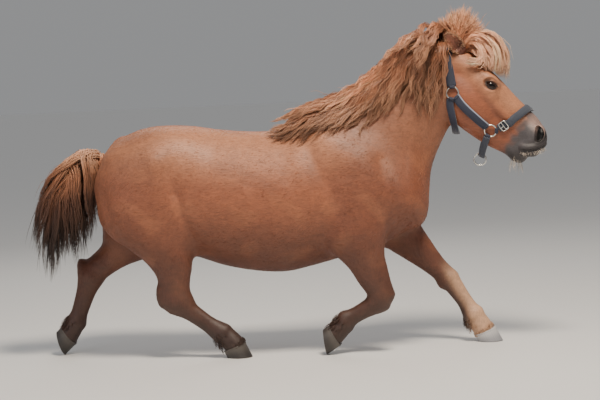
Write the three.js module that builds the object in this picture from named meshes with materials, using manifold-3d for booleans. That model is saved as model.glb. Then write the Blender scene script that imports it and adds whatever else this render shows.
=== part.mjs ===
// A shetland pony at a trot, life size, wearing a padded webbing halter.
// Millimetres. +X runs to the nose, +Y to the pony's left, +Z up, and the floor is Z = 0.
import * as THREE from "three";
import { mergeVertices } from "three/addons/utils/BufferGeometryUtils.js";
import Module from "manifold-3d";

const wasm = await Module();
wasm.setup();

// Driving dimensions
const GAP = 0.3; // between nodes that touch
const RIGHT = -1;
const LEFT = 1;
const ALONG_BODY = [1, 0, 0];
const HEAD_ORIGIN = [622, 0, 1015]; // inside the poll
const HEAD_AXIS = [0.689, 0, -0.725]; // from the poll to the lips
const NECK_ORIGIN = [150, 0, 640];
const NECK_AXIS = [0.833, 0, 0.553];
const EYE_RADIUS = 25;
const EYE_PLACE = [153, 22, 61]; // along the head, towards the forehead, sideways
const STRAP_WIDTH = 34;
const STRAP_THICKNESS = 5;

const point = (x, y, z) => new THREE.Vector3(x, y, z);
const clamp = THREE.MathUtils.clamp;
const lerp = THREE.MathUtils.lerp;

// A repeatable stream of numbers from 0 to 1.
function randomStream(seed) {
  let state = seed;
  return () => {
    state = (state + 0x6d2b79f5) | 0;
    let mixed = Math.imul(state ^ (state >>> 15), 1 | state);
    mixed = (mixed + Math.imul(mixed ^ (mixed >>> 7), 61 | mixed)) ^ mixed;
    return ((mixed ^ (mixed >>> 14)) >>> 0) / 4294967296;
  };
}

// A value that runs smoothly through rows of [place, ..., value, ...], and is flat past the ends.
function through(rows, column) {
  const last = rows.length - 1;
  const slope = rows.map((row, i) => {
    const before = rows[Math.max(i - 1, 0)];
    const after = rows[Math.min(i + 1, last)];
    return (after[column] - before[column]) / (after[0] - before[0]);
  });
  return (place) => {
    if (place <= rows[0][0]) return rows[0][column];
    if (place >= rows[last][0]) return rows[last][column];
    let i = 0;
    while (place > rows[i + 1][0]) i += 1;
    const span = rows[i + 1][0] - rows[i][0];
    const t = (place - rows[i][0]) / span;
    const t2 = t * t;
    const t3 = t2 * t;
    return (
      (2 * t3 - 3 * t2 + 1) * rows[i][column] +
      (t3 - 2 * t2 + t) * span * slope[i] +
      (3 * t2 - 2 * t3) * rows[i + 1][column] +
      (t3 - t2) * span * slope[i + 1]
    );
  };
}

// The body is one smooth field: below zero inside the flesh, above zero outside it.

// The three axes of a body part: along it, towards its top or front, and sideways.
function axesOf(dir) {
  const along = point(...dir).normalize();
  const side = point(0, 1, 0).addScaledVector(along, -along.y).normalize();
  const top = along.clone().cross(side);
  return { along, top, side };
}

// An elliptical section swept along a straight axis, with rounded ends of the lengths in caps.
// Each station is [distance along, offset of the section's centre, half depth, half width].
function loft({ from, dir, caps, stations }) {
  const { along, top, side } = axesOf(dir);
  const start = stations[0][0];
  const end = stations[stations.length - 1][0];
  const centre = through(stations, 1);
  const halfDepth = through(stations, 2);
  const halfWidth = through(stations, 3);
  return (p) => {
    const x = p.x - from[0];
    const y = p.y - from[1];
    const z = p.z - from[2];
    const s = x * along.x + y * along.y + z * along.z;
    const u = x * top.x + y * top.y + z * top.z;
    const v = x * side.x + y * side.y + z * side.z;
    const held = clamp(s, start + caps[0], end - caps[1]);
    const cap = s < held ? caps[0] : caps[1];
    const depth = halfDepth(held);
    const width = halfWidth(held);
    const a = (u - centre(held)) / depth;
    const b = v / width;
    const e = (s - held) / cap;
    const size = Math.sqrt(a * a + b * b + e * e);
    if (size < 0.05) return -Math.min(depth, width);
    const steep = Math.sqrt((a / depth) ** 2 + (b / width) ** 2 + (e / cap) ** 2);
    return (size * (size - 1)) / steep;
  };
}

// An egg with the given half sizes along, towards the top and sideways.
function egg({ at, dir, radii }) {
  const [length, depth, width] = radii;
  const stations = [[-length, 0, depth, width], [length, 0, depth, width]];
  return loft({ from: at, dir, caps: [length, length], stations });
}

// A point in the head's own directions, as part coordinates.
function inHead(along, top, side) {
  const axes = axesOf(HEAD_AXIS);
  return point(...HEAD_ORIGIN)
    .addScaledVector(axes.along, along)
    .addScaledVector(axes.top, top)
    .add(point(0, side, 0));
}

const flesh = []; // rows of [field, blend]
const grow = (shape, blend) => flesh.push([shape, blend]);
const bothSides = (make) => [RIGHT, LEFT].forEach(make);

function body(p) {
  let value = 1e3;
  for (const [shape, blend] of flesh) {
    const other = shape(p);
    const near = Math.max(blend - Math.abs(value - other), 0) / blend;
    value = Math.min(value, other) - (near * near * blend) / 4;
  }
  return value;
}

function steepest(field, p) {
  const step = 0.8;
  const q = p.clone();
  const slope = point(0, 0, 0);
  for (const axis of ["x", "y", "z"]) {
    q[axis] = p[axis] + step;
    const after = field(q);
    q[axis] = p[axis] - step;
    slope[axis] = (after - field(q)) / (2 * step);
    q[axis] = p[axis];
  }
  return slope;
}

// Moves a point to the given height above the body.
function onBody(p, height, rounds = 6) {
  const q = p.clone();
  for (let i = 0; i < rounds; i += 1) {
    const slope = steepest(body, q);
    q.addScaledVector(slope, -(body(q) - height) / Math.max(slope.lengthSq(), 0.05));
  }
  return q;
}

// Trunk: distance along is from the point of the buttock, the centre is a height above the floor.
grow(
  loft({
    from: [-650, 0, 0],
    dir: ALONG_BODY,
    caps: [90, 60],
    stations: [
      [0, 640, 130, 116],
      [90, 655, 146, 128],
      [150, 628, 194, 152],
      [220, 606, 224, 172],
      [320, 591, 235, 192],
      [430, 563, 245, 207],
      [550, 545, 251, 214],
      [650, 543, 254, 214],
      [740, 556, 250, 204],
      [840, 570, 240, 184],
      [940, 573, 224, 164],
      [1030, 577, 184, 146],
      [1100, 575, 138, 122],
      [1150, 572, 110, 100],
    ],
  }),
  1,
);

bothSides((side) => {
  // Croup and hip
  grow(egg({ at: [-430, side * 95, 690], dir: [1, 0, 0.1], radii: [170, 118, 98] }), 60);
  // Blade of the shoulder, its point, and the muscle behind the upper arm
  grow(egg({ at: [265, side * 118, 640], dir: [0.7, 0, -0.7], radii: [190, 80, 62] }), 60);
  grow(egg({ at: [405, side * 100, 560], dir: [0.5, 0, -0.8], radii: [92, 66, 62] }), 50);
  grow(egg({ at: [255, side * 128, 470], dir: [0.2, 0, -1], radii: [130, 100, 62] }), 60);
  // Breast
  grow(egg({ at: [440, side * 52, 545], dir: [0.35, 0, -1], radii: [110, 62, 66] }), 45);
});

// Right hind leg, reaching forward under the belly
grow(
  loft({
    from: [0, -100, 760],
    dir: [0, -0.01, -1],
    caps: [50, 34],
    stations: [
      [0, -480, 120, 72],
      [120, -475, 188, 96],
      [200, -468, 192, 104],
      [265, -474, 176, 100],
      [319, -466, 146, 90],
      [356, -446, 120, 80],
      [394, -419, 92, 68],
      [436, -402, 73, 55],
      [470, -397, 61, 47],
      [510, -397, 58, 42],
      [548, -394, 65, 41],
      [590, -386, 58, 38],
    ],
  }),
  55,
);
grow(egg({ at: [-437, -106, 232], dir: [0.2, 0, -1], radii: [42, 25, 22] }), 18);
grow(
  loft({
    from: [-396, -106, 208],
    dir: [0.805, 0.04, -0.593],
    caps: [30, 24],
    stations: [
      [-20, 0, 52, 38],
      [25, 0, 45, 35],
      [60, 0, 36, 29],
      [110, -1, 32, 26],
      [150, -2, 32, 26],
      [190, -2, 38, 32],
      [220, -2, 35, 31],
    ],
  }),
  20,
);
grow(
  loft({
    from: [-232, -98, 90],
    dir: [0.66, 0, -0.75],
    caps: [24, 10],
    stations: [
      [-20, 0, 36, 31],
      [15, 0, 37, 32],
      [45, 0, 39, 36],
      [84, 0, 40, 38],
    ],
  }),
  16,
);

// Left hind leg, pushing off behind
grow(
  loft({
    from: [0, 100, 760],
    dir: [0, 0.03, -1],
    caps: [50, 60],
    stations: [
      [0, -480, 120, 72],
      [120, -488, 182, 96],
      [200, -500, 178, 104],
      [265, -526, 160, 100],
      [319, -552, 132, 88],
      [380, -560, 104, 76],
    ],
  }),
  55,
);
grow(
  loft({
    from: [-545, 122, 438],
    dir: [-0.803, -0.05, -0.594],
    caps: [50, 34],
    stations: [
      [-20, 0, 96, 80],
      [50, 0, 84, 70],
      [110, 0, 64, 56],
      [160, 0, 54, 47],
      [205, 0, 51, 42],
      [246, 0, 52, 40],
      [275, 0, 46, 37],
    ],
  }),
  45,
);
grow(egg({ at: [-762, 106, 312], dir: [-0.3, 0, 1], radii: [44, 24, 21] }), 18);
grow(
  loft({
    from: [-736, 106, 290],
    dir: [-0.345, -0.04, -0.939],
    caps: [30, 24],
    stations: [
      [-20, 0, 50, 38],
      [30, 0, 45, 35],
      [65, 0, 38, 29],
      [110, 0, 34, 26],
      [148, 0, 33, 26],
      [178, 0, 38, 32],
      [204, 0, 35, 31],
    ],
  }),
  20,
);
grow(
  loft({
    from: [-799, 98, 117],
    dir: [-0.58, 0, -0.81],
    caps: [24, 10],
    stations: [
      [-20, 0, 36, 31],
      [10, 0, 36, 32],
      [35, 0, 38, 35],
      [72, 0, 40, 38],
    ],
  }),
  16,
);

// Right foreleg, folding at the knee
grow(
  loft({
    from: [238, -122, 445],
    dir: [0.39, 0.03, -0.92],
    caps: [60, 34],
    stations: [
      [-30, 0, 96, 66],
      [60, 2, 82, 58],
      [130, 2, 68, 51],
      [190, 0, 58, 45],
      [230, 0, 50, 40],
      [268, 0, 46, 38],
      [300, 0, 42, 36],
    ],
  }),
  50,
);
grow(egg({ at: [312, -110, 196], dir: [0.5, 0, 1], radii: [24, 17, 18] }), 14);
grow(
  loft({
    from: [344, -110, 190],
    dir: [-0.888, 0.05, -0.46],
    caps: [30, 24],
    stations: [
      [-20, 0, 44, 37],
      [30, 0, 40, 34],
      [60, 0, 34, 28],
      [90, 0, 31, 25],
      [122, 0, 31, 25],
      [154, 0, 38, 31],
      [180, 0, 35, 30],
    ],
  }),
  18,
);
grow(
  loft({
    from: [204, -100, 108],
    dir: [-0.72, 0, -0.69],
    caps: [24, 10],
    stations: [
      [-20, 0, 36, 31],
      [10, 0, 36, 31],
      [35, 0, 38, 35],
      [72, 0, 40, 38],
    ],
  }),
  16,
);

// Left foreleg, reaching out in front
grow(
  loft({
    from: [365, 122, 445],
    dir: [0.693, -0.04, -0.72],
    caps: [60, 34],
    stations: [
      [-30, 0, 96, 66],
      [60, 0, 78, 58],
      [130, 0, 62, 50],
      [190, 0, 49, 43],
      [245, 0, 40, 38],
      [292, 0, 39, 37],
      [325, 0, 36, 34],
    ],
  }),
  50,
);
grow(egg({ at: [545, 110, 215], dir: [0.4, 0, -1], radii: [24, 16, 18] }), 14);
grow(
  loft({
    from: [572, 110, 232],
    dir: [0.54, -0.06, -0.84],
    caps: [30, 24],
    stations: [
      [-20, 0, 38, 35],
      [35, 0, 35, 32],
      [70, 0, 32, 27],
      [105, 0, 31, 25],
      [130, -2, 34, 28],
      [155, -2, 39, 32],
      [180, -2, 36, 31],
    ],
  }),
  18,
);
grow(
  loft({
    from: [656, 100, 100],
    dir: [0.52, 0, -0.85],
    caps: [24, 10],
    stations: [
      [-20, 0, 36, 31],
      [15, 0, 37, 32],
      [45, 0, 39, 36],
      [86, 0, 40, 38],
    ],
  }),
  16,
);

// Neck
grow(
  loft({
    from: NECK_ORIGIN,
    dir: NECK_AXIS,
    caps: [60, 40],
    stations: [
      [-60, -40, 235, 150],
      [50, -45, 255, 152],
      [150, -52, 245, 140],
      [260, -41, 209, 120],
      [330, -9, 172, 106],
      [390, 8, 157, 95],
      [450, 20, 147, 88],
      [520, 28, 132, 82],
      [590, 20, 112, 76],
    ],
  }),
  60,
);
// Windpipe and the groove beside it
grow(egg({ at: [512, 0, 705], dir: [0.4, 0, 0.92], radii: [150, 34, 46] }), 40);

// Skull from the poll to the lips
grow(
  loft({
    from: HEAD_ORIGIN,
    dir: HEAD_AXIS,
    caps: [40, 58],
    stations: [
      [-45, 0, 52, 58],
      [0, 5, 58, 66],
      [60, 10, 56, 74],
      [120, 12, 54, 80],
      [180, 8, 58, 72],
      [240, 6, 56, 60],
      [300, 4, 57, 52],
      [350, 0, 60, 50],
      [400, -8, 56, 52],
      [438, -16, 46, 46],
    ],
  }),
  40,
);
// Lower jaw
grow(
  loft({
    from: HEAD_ORIGIN,
    dir: HEAD_AXIS,
    caps: [60, 40],
    stations: [
      [70, -82, 62, 56],
      [150, -90, 66, 62],
      [220, -92, 58, 56],
      [290, -88, 48, 48],
      [340, -78, 42, 42],
      [385, -70, 36, 40],
      [420, -66, 30, 34],
    ],
  }),
  34,
);
bothSides((side) => {
  const placed = (along, top, out) => inHead(along, top, side * out).toArray();
  // Round cheek
  grow(egg({ at: placed(142, -72, 50), dir: HEAD_AXIS, radii: [92, 82, 36] }), 30);
  // Brow over the eye, and the bone behind it
  grow(egg({ at: placed(138, 40, 62), dir: [0.8, 0, -0.6], radii: [40, 20, 26] }), 22);
  grow(egg({ at: placed(150, 6, 66), dir: HEAD_AXIS, radii: [42, 26, 20] }), 22);
  // Flat of the cheek between the jaw and the nose
  grow(egg({ at: placed(262, -48, 30), dir: HEAD_AXIS, radii: [86, 44, 22] }), 24);
  // Ridge below the eye
  grow(egg({ at: placed(232, -14, 58), dir: [0.63, -side * 0.2, -0.75], radii: [62, 12, 12] }), 20);
  // Flare of the nostril, and the side of the upper lip
  grow(egg({ at: placed(392, 8, 34), dir: [0.75, 0, -0.66], radii: [42, 34, 24] }), 22);
  grow(egg({ at: placed(408, -34, 26), dir: HEAD_AXIS, radii: [36, 30, 28] }), 20);
});
// Chin
grow(egg({ at: inHead(392, -84, 0).toArray(), dir: HEAD_AXIS, radii: [34, 26, 32] }), 20);

// A closed surface round a field inside a box, of cells that are about square.
function skin(field, { low, high, cell, basis = new THREE.Matrix4() }) {
  const counts = low.map((value, i) => Math.ceil((high[i] - value) / cell[i]) + 1);
  const [nx, ny, nz] = counts;
  const corner = (i, j, k) => i + nx * (j + ny * k);
  const place = (i, j, k) =>
    point(low[0] + i * cell[0], low[1] + j * cell[1], low[2] + k * cell[2]).applyMatrix4(basis);
  const values = new Float32Array(nx * ny * nz);
  for (let k = 0; k < nz; k += 1) {
    for (let j = 0; j < ny; j += 1) {
      for (let i = 0; i < nx; i += 1) {
        const rim = i === 0 || j === 0 || k === 0 || i === nx - 1 || j === ny - 1 || k === nz - 1;
        const value = field(place(i, j, k));
        values[corner(i, j, k)] = rim ? Math.max(value, 1) : value;
      }
    }
  }
  const numbers = new Int32Array(nx * ny * nz).fill(-1);
  const points = [];
  for (let k = 0; k < nz - 1; k += 1) {
    for (let j = 0; j < ny - 1; j += 1) {
      for (let i = 0; i < nx - 1; i += 1) {
        const sum = point(0, 0, 0);
        let crossings = 0;
        for (let axis = 0; axis < 3; axis += 1) {
          for (let other = 0; other < 4; other += 1) {
            const base = [i, j, k];
            base[(axis + 1) % 3] += other & 1;
            base[(axis + 2) % 3] += other >> 1;
            const far = base.slice();
            far[axis] += 1;
            const a = values[corner(...base)];
            const b = values[corner(...far)];
            if (a < 0 === b < 0) continue;
            sum.add(place(...base).lerp(place(...far), a / (a - b)));
            crossings += 1;
          }
        }
        if (!crossings) continue;
        numbers[corner(i, j, k)] = points.length;
        points.push(sum.divideScalar(crossings));
      }
    }
  }
  const faces = [];
  for (let k = 0; k < nz - 1; k += 1) {
    for (let j = 0; j < ny - 1; j += 1) {
      for (let i = 0; i < nx - 1; i += 1) {
        for (let axis = 0; axis < 3; axis += 1) {
          const far = [i, j, k];
          if (far[(axis + 1) % 3] === 0 || far[(axis + 2) % 3] === 0) continue;
          far[axis] += 1;
          const inside = values[corner(i, j, k)] < 0;
          if (inside === values[corner(...far)] < 0) continue;
          const round = [[0, 0], [-1, 0], [-1, -1], [0, -1]].map(([a, b]) => {
            const cellAt = [i, j, k];
            cellAt[(axis + 1) % 3] += a;
            cellAt[(axis + 2) % 3] += b;
            return numbers[corner(...cellAt)];
          });
          faces.push(inside ? round : round.reverse());
        }
      }
    }
  }
  settle(field, points, faces, Math.min(...cell));
  const triangles = [];
  for (const [a, b, c, d] of faces) {
    const shortAC = points[a].distanceTo(points[c]) < points[b].distanceTo(points[d]);
    triangles.push(...(shortAC ? [a, b, c, a, c, d] : [a, b, d, b, c, d]));
  }
  return solidOf(points.flatMap((p) => p.toArray()), triangles);
}

// Evens out the points of a surface and draws them back onto its field.
function settle(field, points, faces, reach) {
  const neighbours = points.map(() => new Set());
  for (const face of faces) {
    face.forEach((a, i) => {
      const b = face[(i + 1) % 4];
      neighbours[a].add(b);
      neighbours[b].add(a);
    });
  }
  for (let round = 0; round < 3; round += 1) {
    const moved = points.map((p, i) => {
      const mean = point(0, 0, 0);
      neighbours[i].forEach((n) => mean.add(points[n]));
      return p.clone().lerp(mean.divideScalar(neighbours[i].size), 0.5);
    });
    moved.forEach((p, i) => {
      const value = field(p);
      if (Math.abs(value) > reach) return;
      const slope = steepest(field, p);
      p.addScaledVector(slope, -value / Math.max(slope.lengthSq(), 0.2));
      points[i].copy(p);
    });
  }
}

// Solids: joined and cut as closed bodies.
function solidOf(positions, triangles) {
  return new wasm.Manifold(
    new wasm.Mesh({
      numProp: 3,
      vertProperties: new Float32Array(positions),
      triVerts: new Uint32Array(triangles),
    }),
  );
}

function solidFrom(geometry, matrix = new THREE.Matrix4()) {
  const bare = geometry.clone().applyMatrix4(matrix);
  bare.deleteAttribute("normal");
  bare.deleteAttribute("uv");
  const merged = mergeVertices(bare, 1e-3);
  const triangles = Array.from(merged.index.array);
  const kept = [];
  for (let i = 0; i < triangles.length; i += 3) {
    const [a, b, c] = triangles.slice(i, i + 3);
    if (a !== b && b !== c && c !== a) kept.push(a, b, c);
  }
  return solidOf(merged.attributes.position.array, kept);
}

function largest(solid) {
  return solid.decompose().reduce((a, b) => (a.volume() > b.volume() ? a : b));
}

// A solid from rings of points, each ring joined to the next. A ring of one point is a tip.
// With closed the last ring joins the first; with strip the ends are filled across the ring.
function sweep(rings, { closed = false, strip = false } = {}) {
  const starts = [];
  const positions = [];
  for (const ring of rings) {
    starts.push(positions.length / 3);
    ring.forEach((p) => positions.push(p.x, p.y, p.z));
  }
  const triangles = [];
  const links = closed ? rings.length : rings.length - 1;
  for (let i = 0; i < links; i += 1) {
    const j = (i + 1) % rings.length;
    const count = Math.max(rings[i].length, rings[j].length);
    for (let k = 0; k < count; k += 1) {
      const next = (k + 1) % count;
      const a = starts[i] + (rings[i].length > 1 ? k : 0);
      const b = starts[i] + (rings[i].length > 1 ? next : 0);
      const c = starts[j] + (rings[j].length > 1 ? next : 0);
      const d = starts[j] + (rings[j].length > 1 ? k : 0);
      if (a !== b) triangles.push(a, b, c);
      if (c !== d) triangles.push(a, c, d);
    }
  }
  const fill = (ring, turned) => {
    const count = rings[ring].length;
    if (count < 3) return;
    const faces = [];
    for (let k = 1; k < count - 1; k += 1) faces.push([0, k + 1, k]);
    if (strip) {
      faces.length = 0;
      for (let k = 0; k < count / 2 - 1; k += 1) {
        const mirror = count - 1 - k;
        faces.push([k, mirror, k + 1], [k + 1, mirror, mirror - 1]);
      }
    }
    for (const [a, b, c] of faces) {
      const face = turned ? [a, c, b] : [a, b, c];
      triangles.push(...face.map((index) => starts[ring] + index));
    }
  };
  if (!closed) {
    fill(0, false);
    fill(rings.length - 1, true);
  }
  const made = solidOf(positions, triangles);
  if (made.volume() >= 0) return made;
  for (let i = 0; i < triangles.length; i += 3) {
    [triangles[i + 1], triangles[i + 2]] = [triangles[i + 2], triangles[i + 1]];
  }
  return solidOf(positions, triangles);
}

// A box turned so that it runs from a place along a direction, starting at shift from the place.
function boxAlong({ at, dir, long, deep, wide }, shift = 0) {
  const { along, top, side } = axesOf(dir);
  const turn = new THREE.Matrix4().makeBasis(side, top, along);
  const box = new THREE.BoxGeometry(wide, deep, long);
  box.translate(0, 0, long / 2 + shift);
  return solidFrom(box, new THREE.Matrix4().makeTranslation(...at).multiply(turn));
}

// Ground-level room that holds the rest of each leg, all of it lower than the belly
const BELOW_BELLY = 272;
const LEGS = {
  foreleg_right: {
    cut: { at: [262, -135, 322], dir: [0.28, 0, -0.96], wide: 250, deep: 230, long: 120 },
    low: [60, -240, 10],
    high: [460, -6, 420],
  },
  foreleg_left: {
    cut: { at: [440, 135, 380], dir: [0.687, 0, -0.726], wide: 250, deep: 200, long: 200 },
    low: [330, 6, 10],
    high: [790, 240, 470],
  },
  hindleg_right: {
    cut: { at: [-408, -135, 345], dir: [0.05, 0, -1], wide: 250, deep: 190, long: 130 },
    low: [-530, -240, 10],
    high: [-90, -6, 430],
  },
  hindleg_left: {
    cut: { at: [-600, 135, 392], dir: [-0.803, 0, -0.594], wide: 250, deep: 200, long: 300 },
    low: [-930, 6, 10],
    high: [-470, 260, 500],
  },
};

function legRoom({ cut, low, high }, shift) {
  const inset = 1;
  const size = [high[0] - low[0] - inset, high[1] - low[1] - inset, BELOW_BELLY];
  const box = new THREE.BoxGeometry(...size);
  box.translate((low[0] + high[0]) / 2, (low[1] + high[1]) / 2, BELOW_BELLY / 2);
  return boxAlong(cut, shift).add(solidFrom(box));
}

// Hooves. The sole's middle, the way the toe points along the sole, and the way up from the sole.
const HOOVES = {
  foreleg_right: { hoof: "hoof_fore_right", sole: [129.5, -100, 45], toe: [0.12, 0, -0.993] },
  foreleg_left: { hoof: "hoof_fore_left", sole: [713, 100, 0], toe: [1, 0, 0] },
  hindleg_right: { hoof: "hoof_hind_right", sole: [-175, -98, 0], toe: [1, 0, 0] },
  hindleg_left: { hoof: "hoof_hind_left", sole: [-861, 98, 43], toe: [0.3, 0, -0.954] },
};
const SOLE = { half: 46, wide: 42 };
const CORONET = { half: 38, wide: 38, back: 17.5, up: 38, rise: 0.4 };
const HOOF_SIDES = 16;

function hoofFrame({ sole, toe }) {
  const forward = point(...toe).normalize();
  const up = point(-forward.z, 0, forward.x);
  const place = (x, y, z) =>
    point(...sole).addScaledVector(forward, x).addScaledVector(up, z).add(point(0, y, 0));
  const slope = Math.atan(CORONET.rise);
  const normal = up.clone().multiplyScalar(Math.cos(slope)).addScaledVector(forward, -Math.sin(slope));
  return { place, normal, crown: place(-CORONET.back, 0, CORONET.up) };
}

function hoofSolid(spec) {
  const { place } = hoofFrame(spec);
  const rings = [0, 0.12, 1].map((t) => {
    const bulge = t === 0 ? -1.5 : 0;
    return Array.from({ length: HOOF_SIDES }, (_, i) => {
      const turn = (i / HOOF_SIDES) * 2 * Math.PI;
      const heel = Math.max(-Math.cos(turn), 0);
      const long = lerp(SOLE.half, CORONET.half, t) + bulge;
      const wide = lerp(SOLE.wide, CORONET.wide, t) + bulge - 5 * heel * (1 - t);
      const x = Math.cos(turn) * long - CORONET.back * t;
      const rise = CORONET.up + Math.cos(turn) * CORONET.half * CORONET.rise;
      return place(x, Math.sin(turn) * wide, rise * t);
    });
  });
  return sweep(rings, { strip: true });
}

// The neck is parted from the trunk from the withers to the breast, and from the head behind the cheek.
const NECK_CUT = { at: [40, 0, 818], normal: [0.549, 0, 0.836] };
const HEAD_CUT = { at: [592, 0, 930], normal: [0.99, 0, 0.135] };

function planeOf({ at, normal }) {
  const n = point(...normal).normalize();
  const offset = n.dot(point(...at));
  return { n, offset, above: (p) => n.dot(p) - offset };
}
const neckPlane = planeOf(NECK_CUT);
const headPlane = planeOf(HEAD_CUT);
const keepAbove = (solid, { n, offset }) => solid.trimByPlane(n.toArray(), offset + GAP / 2);
const keepBelow = (solid, { n, offset }) =>
  solid.trimByPlane(n.clone().negate().toArray(), -offset + GAP / 2);

// Hair grows as flat tapered locks on small cores. It stays HANG clear of the flesh it falls over.
const HANG = 5;
function massOf(shapes, blend) {
  return (p) => {
    let value = 1e3;
    for (const shape of shapes) {
      const other = shape(p);
      const near = Math.max(blend - Math.abs(value - other), 0) / blend;
      value = Math.min(value, other) - (near * near * blend) / 4;
    }
    return value;
  };
}

// The height of the outline's hair over the crest, from the withers to the forehead
const HAIR_TOP = [
  [-48, 806],
  [-3, 842],
  [71, 880],
  [179, 912],
  [287, 950],
  [361, 1014],
  [416, 1062],
  [490, 1130],
  [579, 1168],
  [640, 1190],
];
const hairTop = through(HAIR_TOP, 1);

// The top of the flesh at a place seen from above
function crestPoint(x, y) {
  let low = 620;
  let high = 1240;
  while (high - low > 0.5) {
    const middle = (low + high) / 2;
    if (body(point(x, y, middle)) < 0) low = middle;
    else high = middle;
  }
  return point(x, y, low);
}

// Low cores that carry the roots of the mane and the forelock
const crestCore = loft({
  from: [10, 0, 800],
  dir: [0.86, 0, 0.51],
  caps: [60, 30],
  stations: [
    [90, -34, 30, 34],
    [196, -66, 44, 42],
    [322, -96, 56, 46],
    [472, -76, 66, 48],
    [558, -56, 72, 50],
    [660, -66, 74, 50],
  ],
});
const pollCore = massOf(
  [
    egg({ at: [612, 0, 1088], dir: [1, 0, 0.2], radii: [72, 58, 62] }),
    egg({ at: inHead(60, 66, 0).toArray(), dir: HEAD_AXIS, radii: [72, 40, 46] }),
  ],
  30,
);
const CORE_BLEND = 20;
const neckWithCore = massOf([body, crestCore], CORE_BLEND);
const headWithCore = massOf([body, pollCore], CORE_BLEND);

// A lock with a lens-shaped section. The spine runs from the root, sunk in, to the tip.
const LOCK_RINGS = [0.55, 0.9, 1.1, 1, 0.66];
function lockOn(spine, outward, width, thick, free) {
  const last = spine.length - 1;
  const rings = spine.map((p, i) => {
    if (i === last) return [p];
    const along = spine[i + 1].clone().sub(spine[Math.max(i - 1, 0)]).normalize();
    const out = outward[i].clone().addScaledVector(along, -outward[i].dot(along)).normalize();
    const across = along.clone().cross(out);
    const w = (width / 2) * LOCK_RINGS[i];
    const t = (thick / 2) * LOCK_RINGS[i];
    const ring = [
      p.clone().addScaledVector(across, w),
      p.clone().addScaledVector(out, t),
      p.clone().addScaledVector(across, -w),
      p.clone().addScaledVector(out, -t),
    ];
    const lift = HANG - Math.min(...ring.map(body));
    if (i < free || lift <= 0) return ring;
    const up = steepest(body, p).normalize().multiplyScalar(lift);
    return ring.map((q) => q.add(up));
  });
  const tip = rings[last][0];
  if (body(tip) < HANG) rings[last] = [onBody(tip, HANG)];
  return sweep(rings);
}

// A lock that lies over the body: it starts at a root on the skin and follows the way of the hair.
function drapedLock({ root, way, height, length, sunk, width, thick }) {
  const steps = LOCK_RINGS.length;
  const spine = [];
  const outward = [];
  let p = root.clone();
  for (let i = 0; i <= steps; i += 1) {
    const t = i / steps;
    const slope = steepest(body, p).normalize();
    if (i === 0) {
      const room = neckPlane.above(p) - 14;
      spine.push(p.clone().addScaledVector(slope, -clamp(room, 5, sunk)));
    } else {
      const lie = way(t);
      lie.addScaledVector(slope, -lie.dot(slope)).normalize();
      p = onBody(p.addScaledVector(lie, length / steps), height(t));
      spine.push(p.clone());
    }
    outward.push(slope);
  }
  return lockOn(spine, outward, width, thick, 1);
}

// Mane: rows of locks from the withers to the poll. Each row has its side, the number of locks,
// the room between its ends, its distance from the midline, its height off the neck, the share of
// the full fall, and the width of its locks.
const MANE_ROWS = [
  { side: RIGHT, count: 7, from: 116, to: 574, out: 30, lift: 18, fall: 1, width: 76 },
  { side: RIGHT, count: 5, from: 140, to: 568, out: 12, lift: 44, fall: 0.82, width: 80 },
  { side: LEFT, count: 4, from: 150, to: 566, out: 26, lift: 16, fall: 0.72, width: 94 },
  { side: LEFT, count: 4, from: 180, to: 560, out: 10, lift: 38, fall: 0.5, width: 84 },
];
const MANE_FALL = through([[112, 200], [200, 250], [300, 280], [400, 285], [500, 290], [590, 325]], 1);
const MANE_BACK = through([[112, 1.1], [250, 0.8], [400, 0.55], [520, 0.4], [590, 0.22]], 1);
const LOCK_THICK = 15;

function maneLocks() {
  const random = randomStream(11);
  const locks = [];
  for (const row of MANE_ROWS) {
    for (let i = 0; i < row.count; i += 1) {
      const x = lerp(row.from, row.to, (i + 0.5 * random()) / (row.count - 0.5));
      const length = MANE_FALL(x) * row.fall * lerp(0.88, 1.08, random());
      const back = MANE_BACK(x) + lerp(-0.1, 0.1, random());
      const way = (t) => point(-back * clamp(0.4 + t, 0, 1), row.side * (1 - t), -1.1 * t);
      const height = (t) => row.lift * clamp(0.5 + 2 * t, 0, 1);
      locks.push(
        drapedLock({
          root: crestPoint(x, row.side * row.out),
          way,
          height,
          length,
          sunk: 26,
          width: row.width * lerp(0.85, 1.12, random()),
          thick: LOCK_THICK,
        }),
      );
    }
  }
  return locks;
}

// Locks along the top of the mane, which stream back and make its outline
const CREST_LOCKS = { count: 8, from: 112, to: 562, width: 76, sunk: 24, reach: 165, drop: 36 };
function crestLocks() {
  const random = randomStream(23);
  return Array.from({ length: CREST_LOCKS.count }, (_, i) => {
    const x = lerp(CREST_LOCKS.from, CREST_LOCKS.to, i / (CREST_LOCKS.count - 1));
    const side = [-1, 0.5, -0.25, 1][i % 4] * 24 - 6;
    const root = crestPoint(x, side * 0.6);
    const reach = CREST_LOCKS.reach * lerp(0.9, 1.15, random());
    const spine = [root.clone().add(point(10, 0, -CREST_LOCKS.sunk))];
    [0, 0.24, 0.5, 0.77, 1].forEach((t, k) => {
      const back = x - reach * t;
      const bare = crestPoint(back, 0).z;
      const z = hairTop(back) - CREST_LOCKS.drop * [1.6, 1.15, 1.05, 0.9, 0.5][k];
      spine.push(point(back, side * (1 + 0.8 * t), Math.max(z, bare + 14)));
    });
    const outward = spine.map(() => point(0.1, side < 0 ? -1 : 1, 0.35));
    const width = CREST_LOCKS.width * lerp(0.9, 1.12, random()) * clamp(x / 420 + 0.25, 0.5, 1);
    return lockOn(spine, outward, width, LOCK_THICK, 1);
  });
}

// A lock drawn through given places, the first of them sunk in.
function freeLock(places, outward, width, thick, free = 2) {
  const curve = new THREE.CatmullRomCurve3(places, false, "centripetal");
  const spine = curve.getSpacedPoints(LOCK_RINGS.length);
  return lockOn(spine, spine.map(outward), width, thick, free);
}

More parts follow.
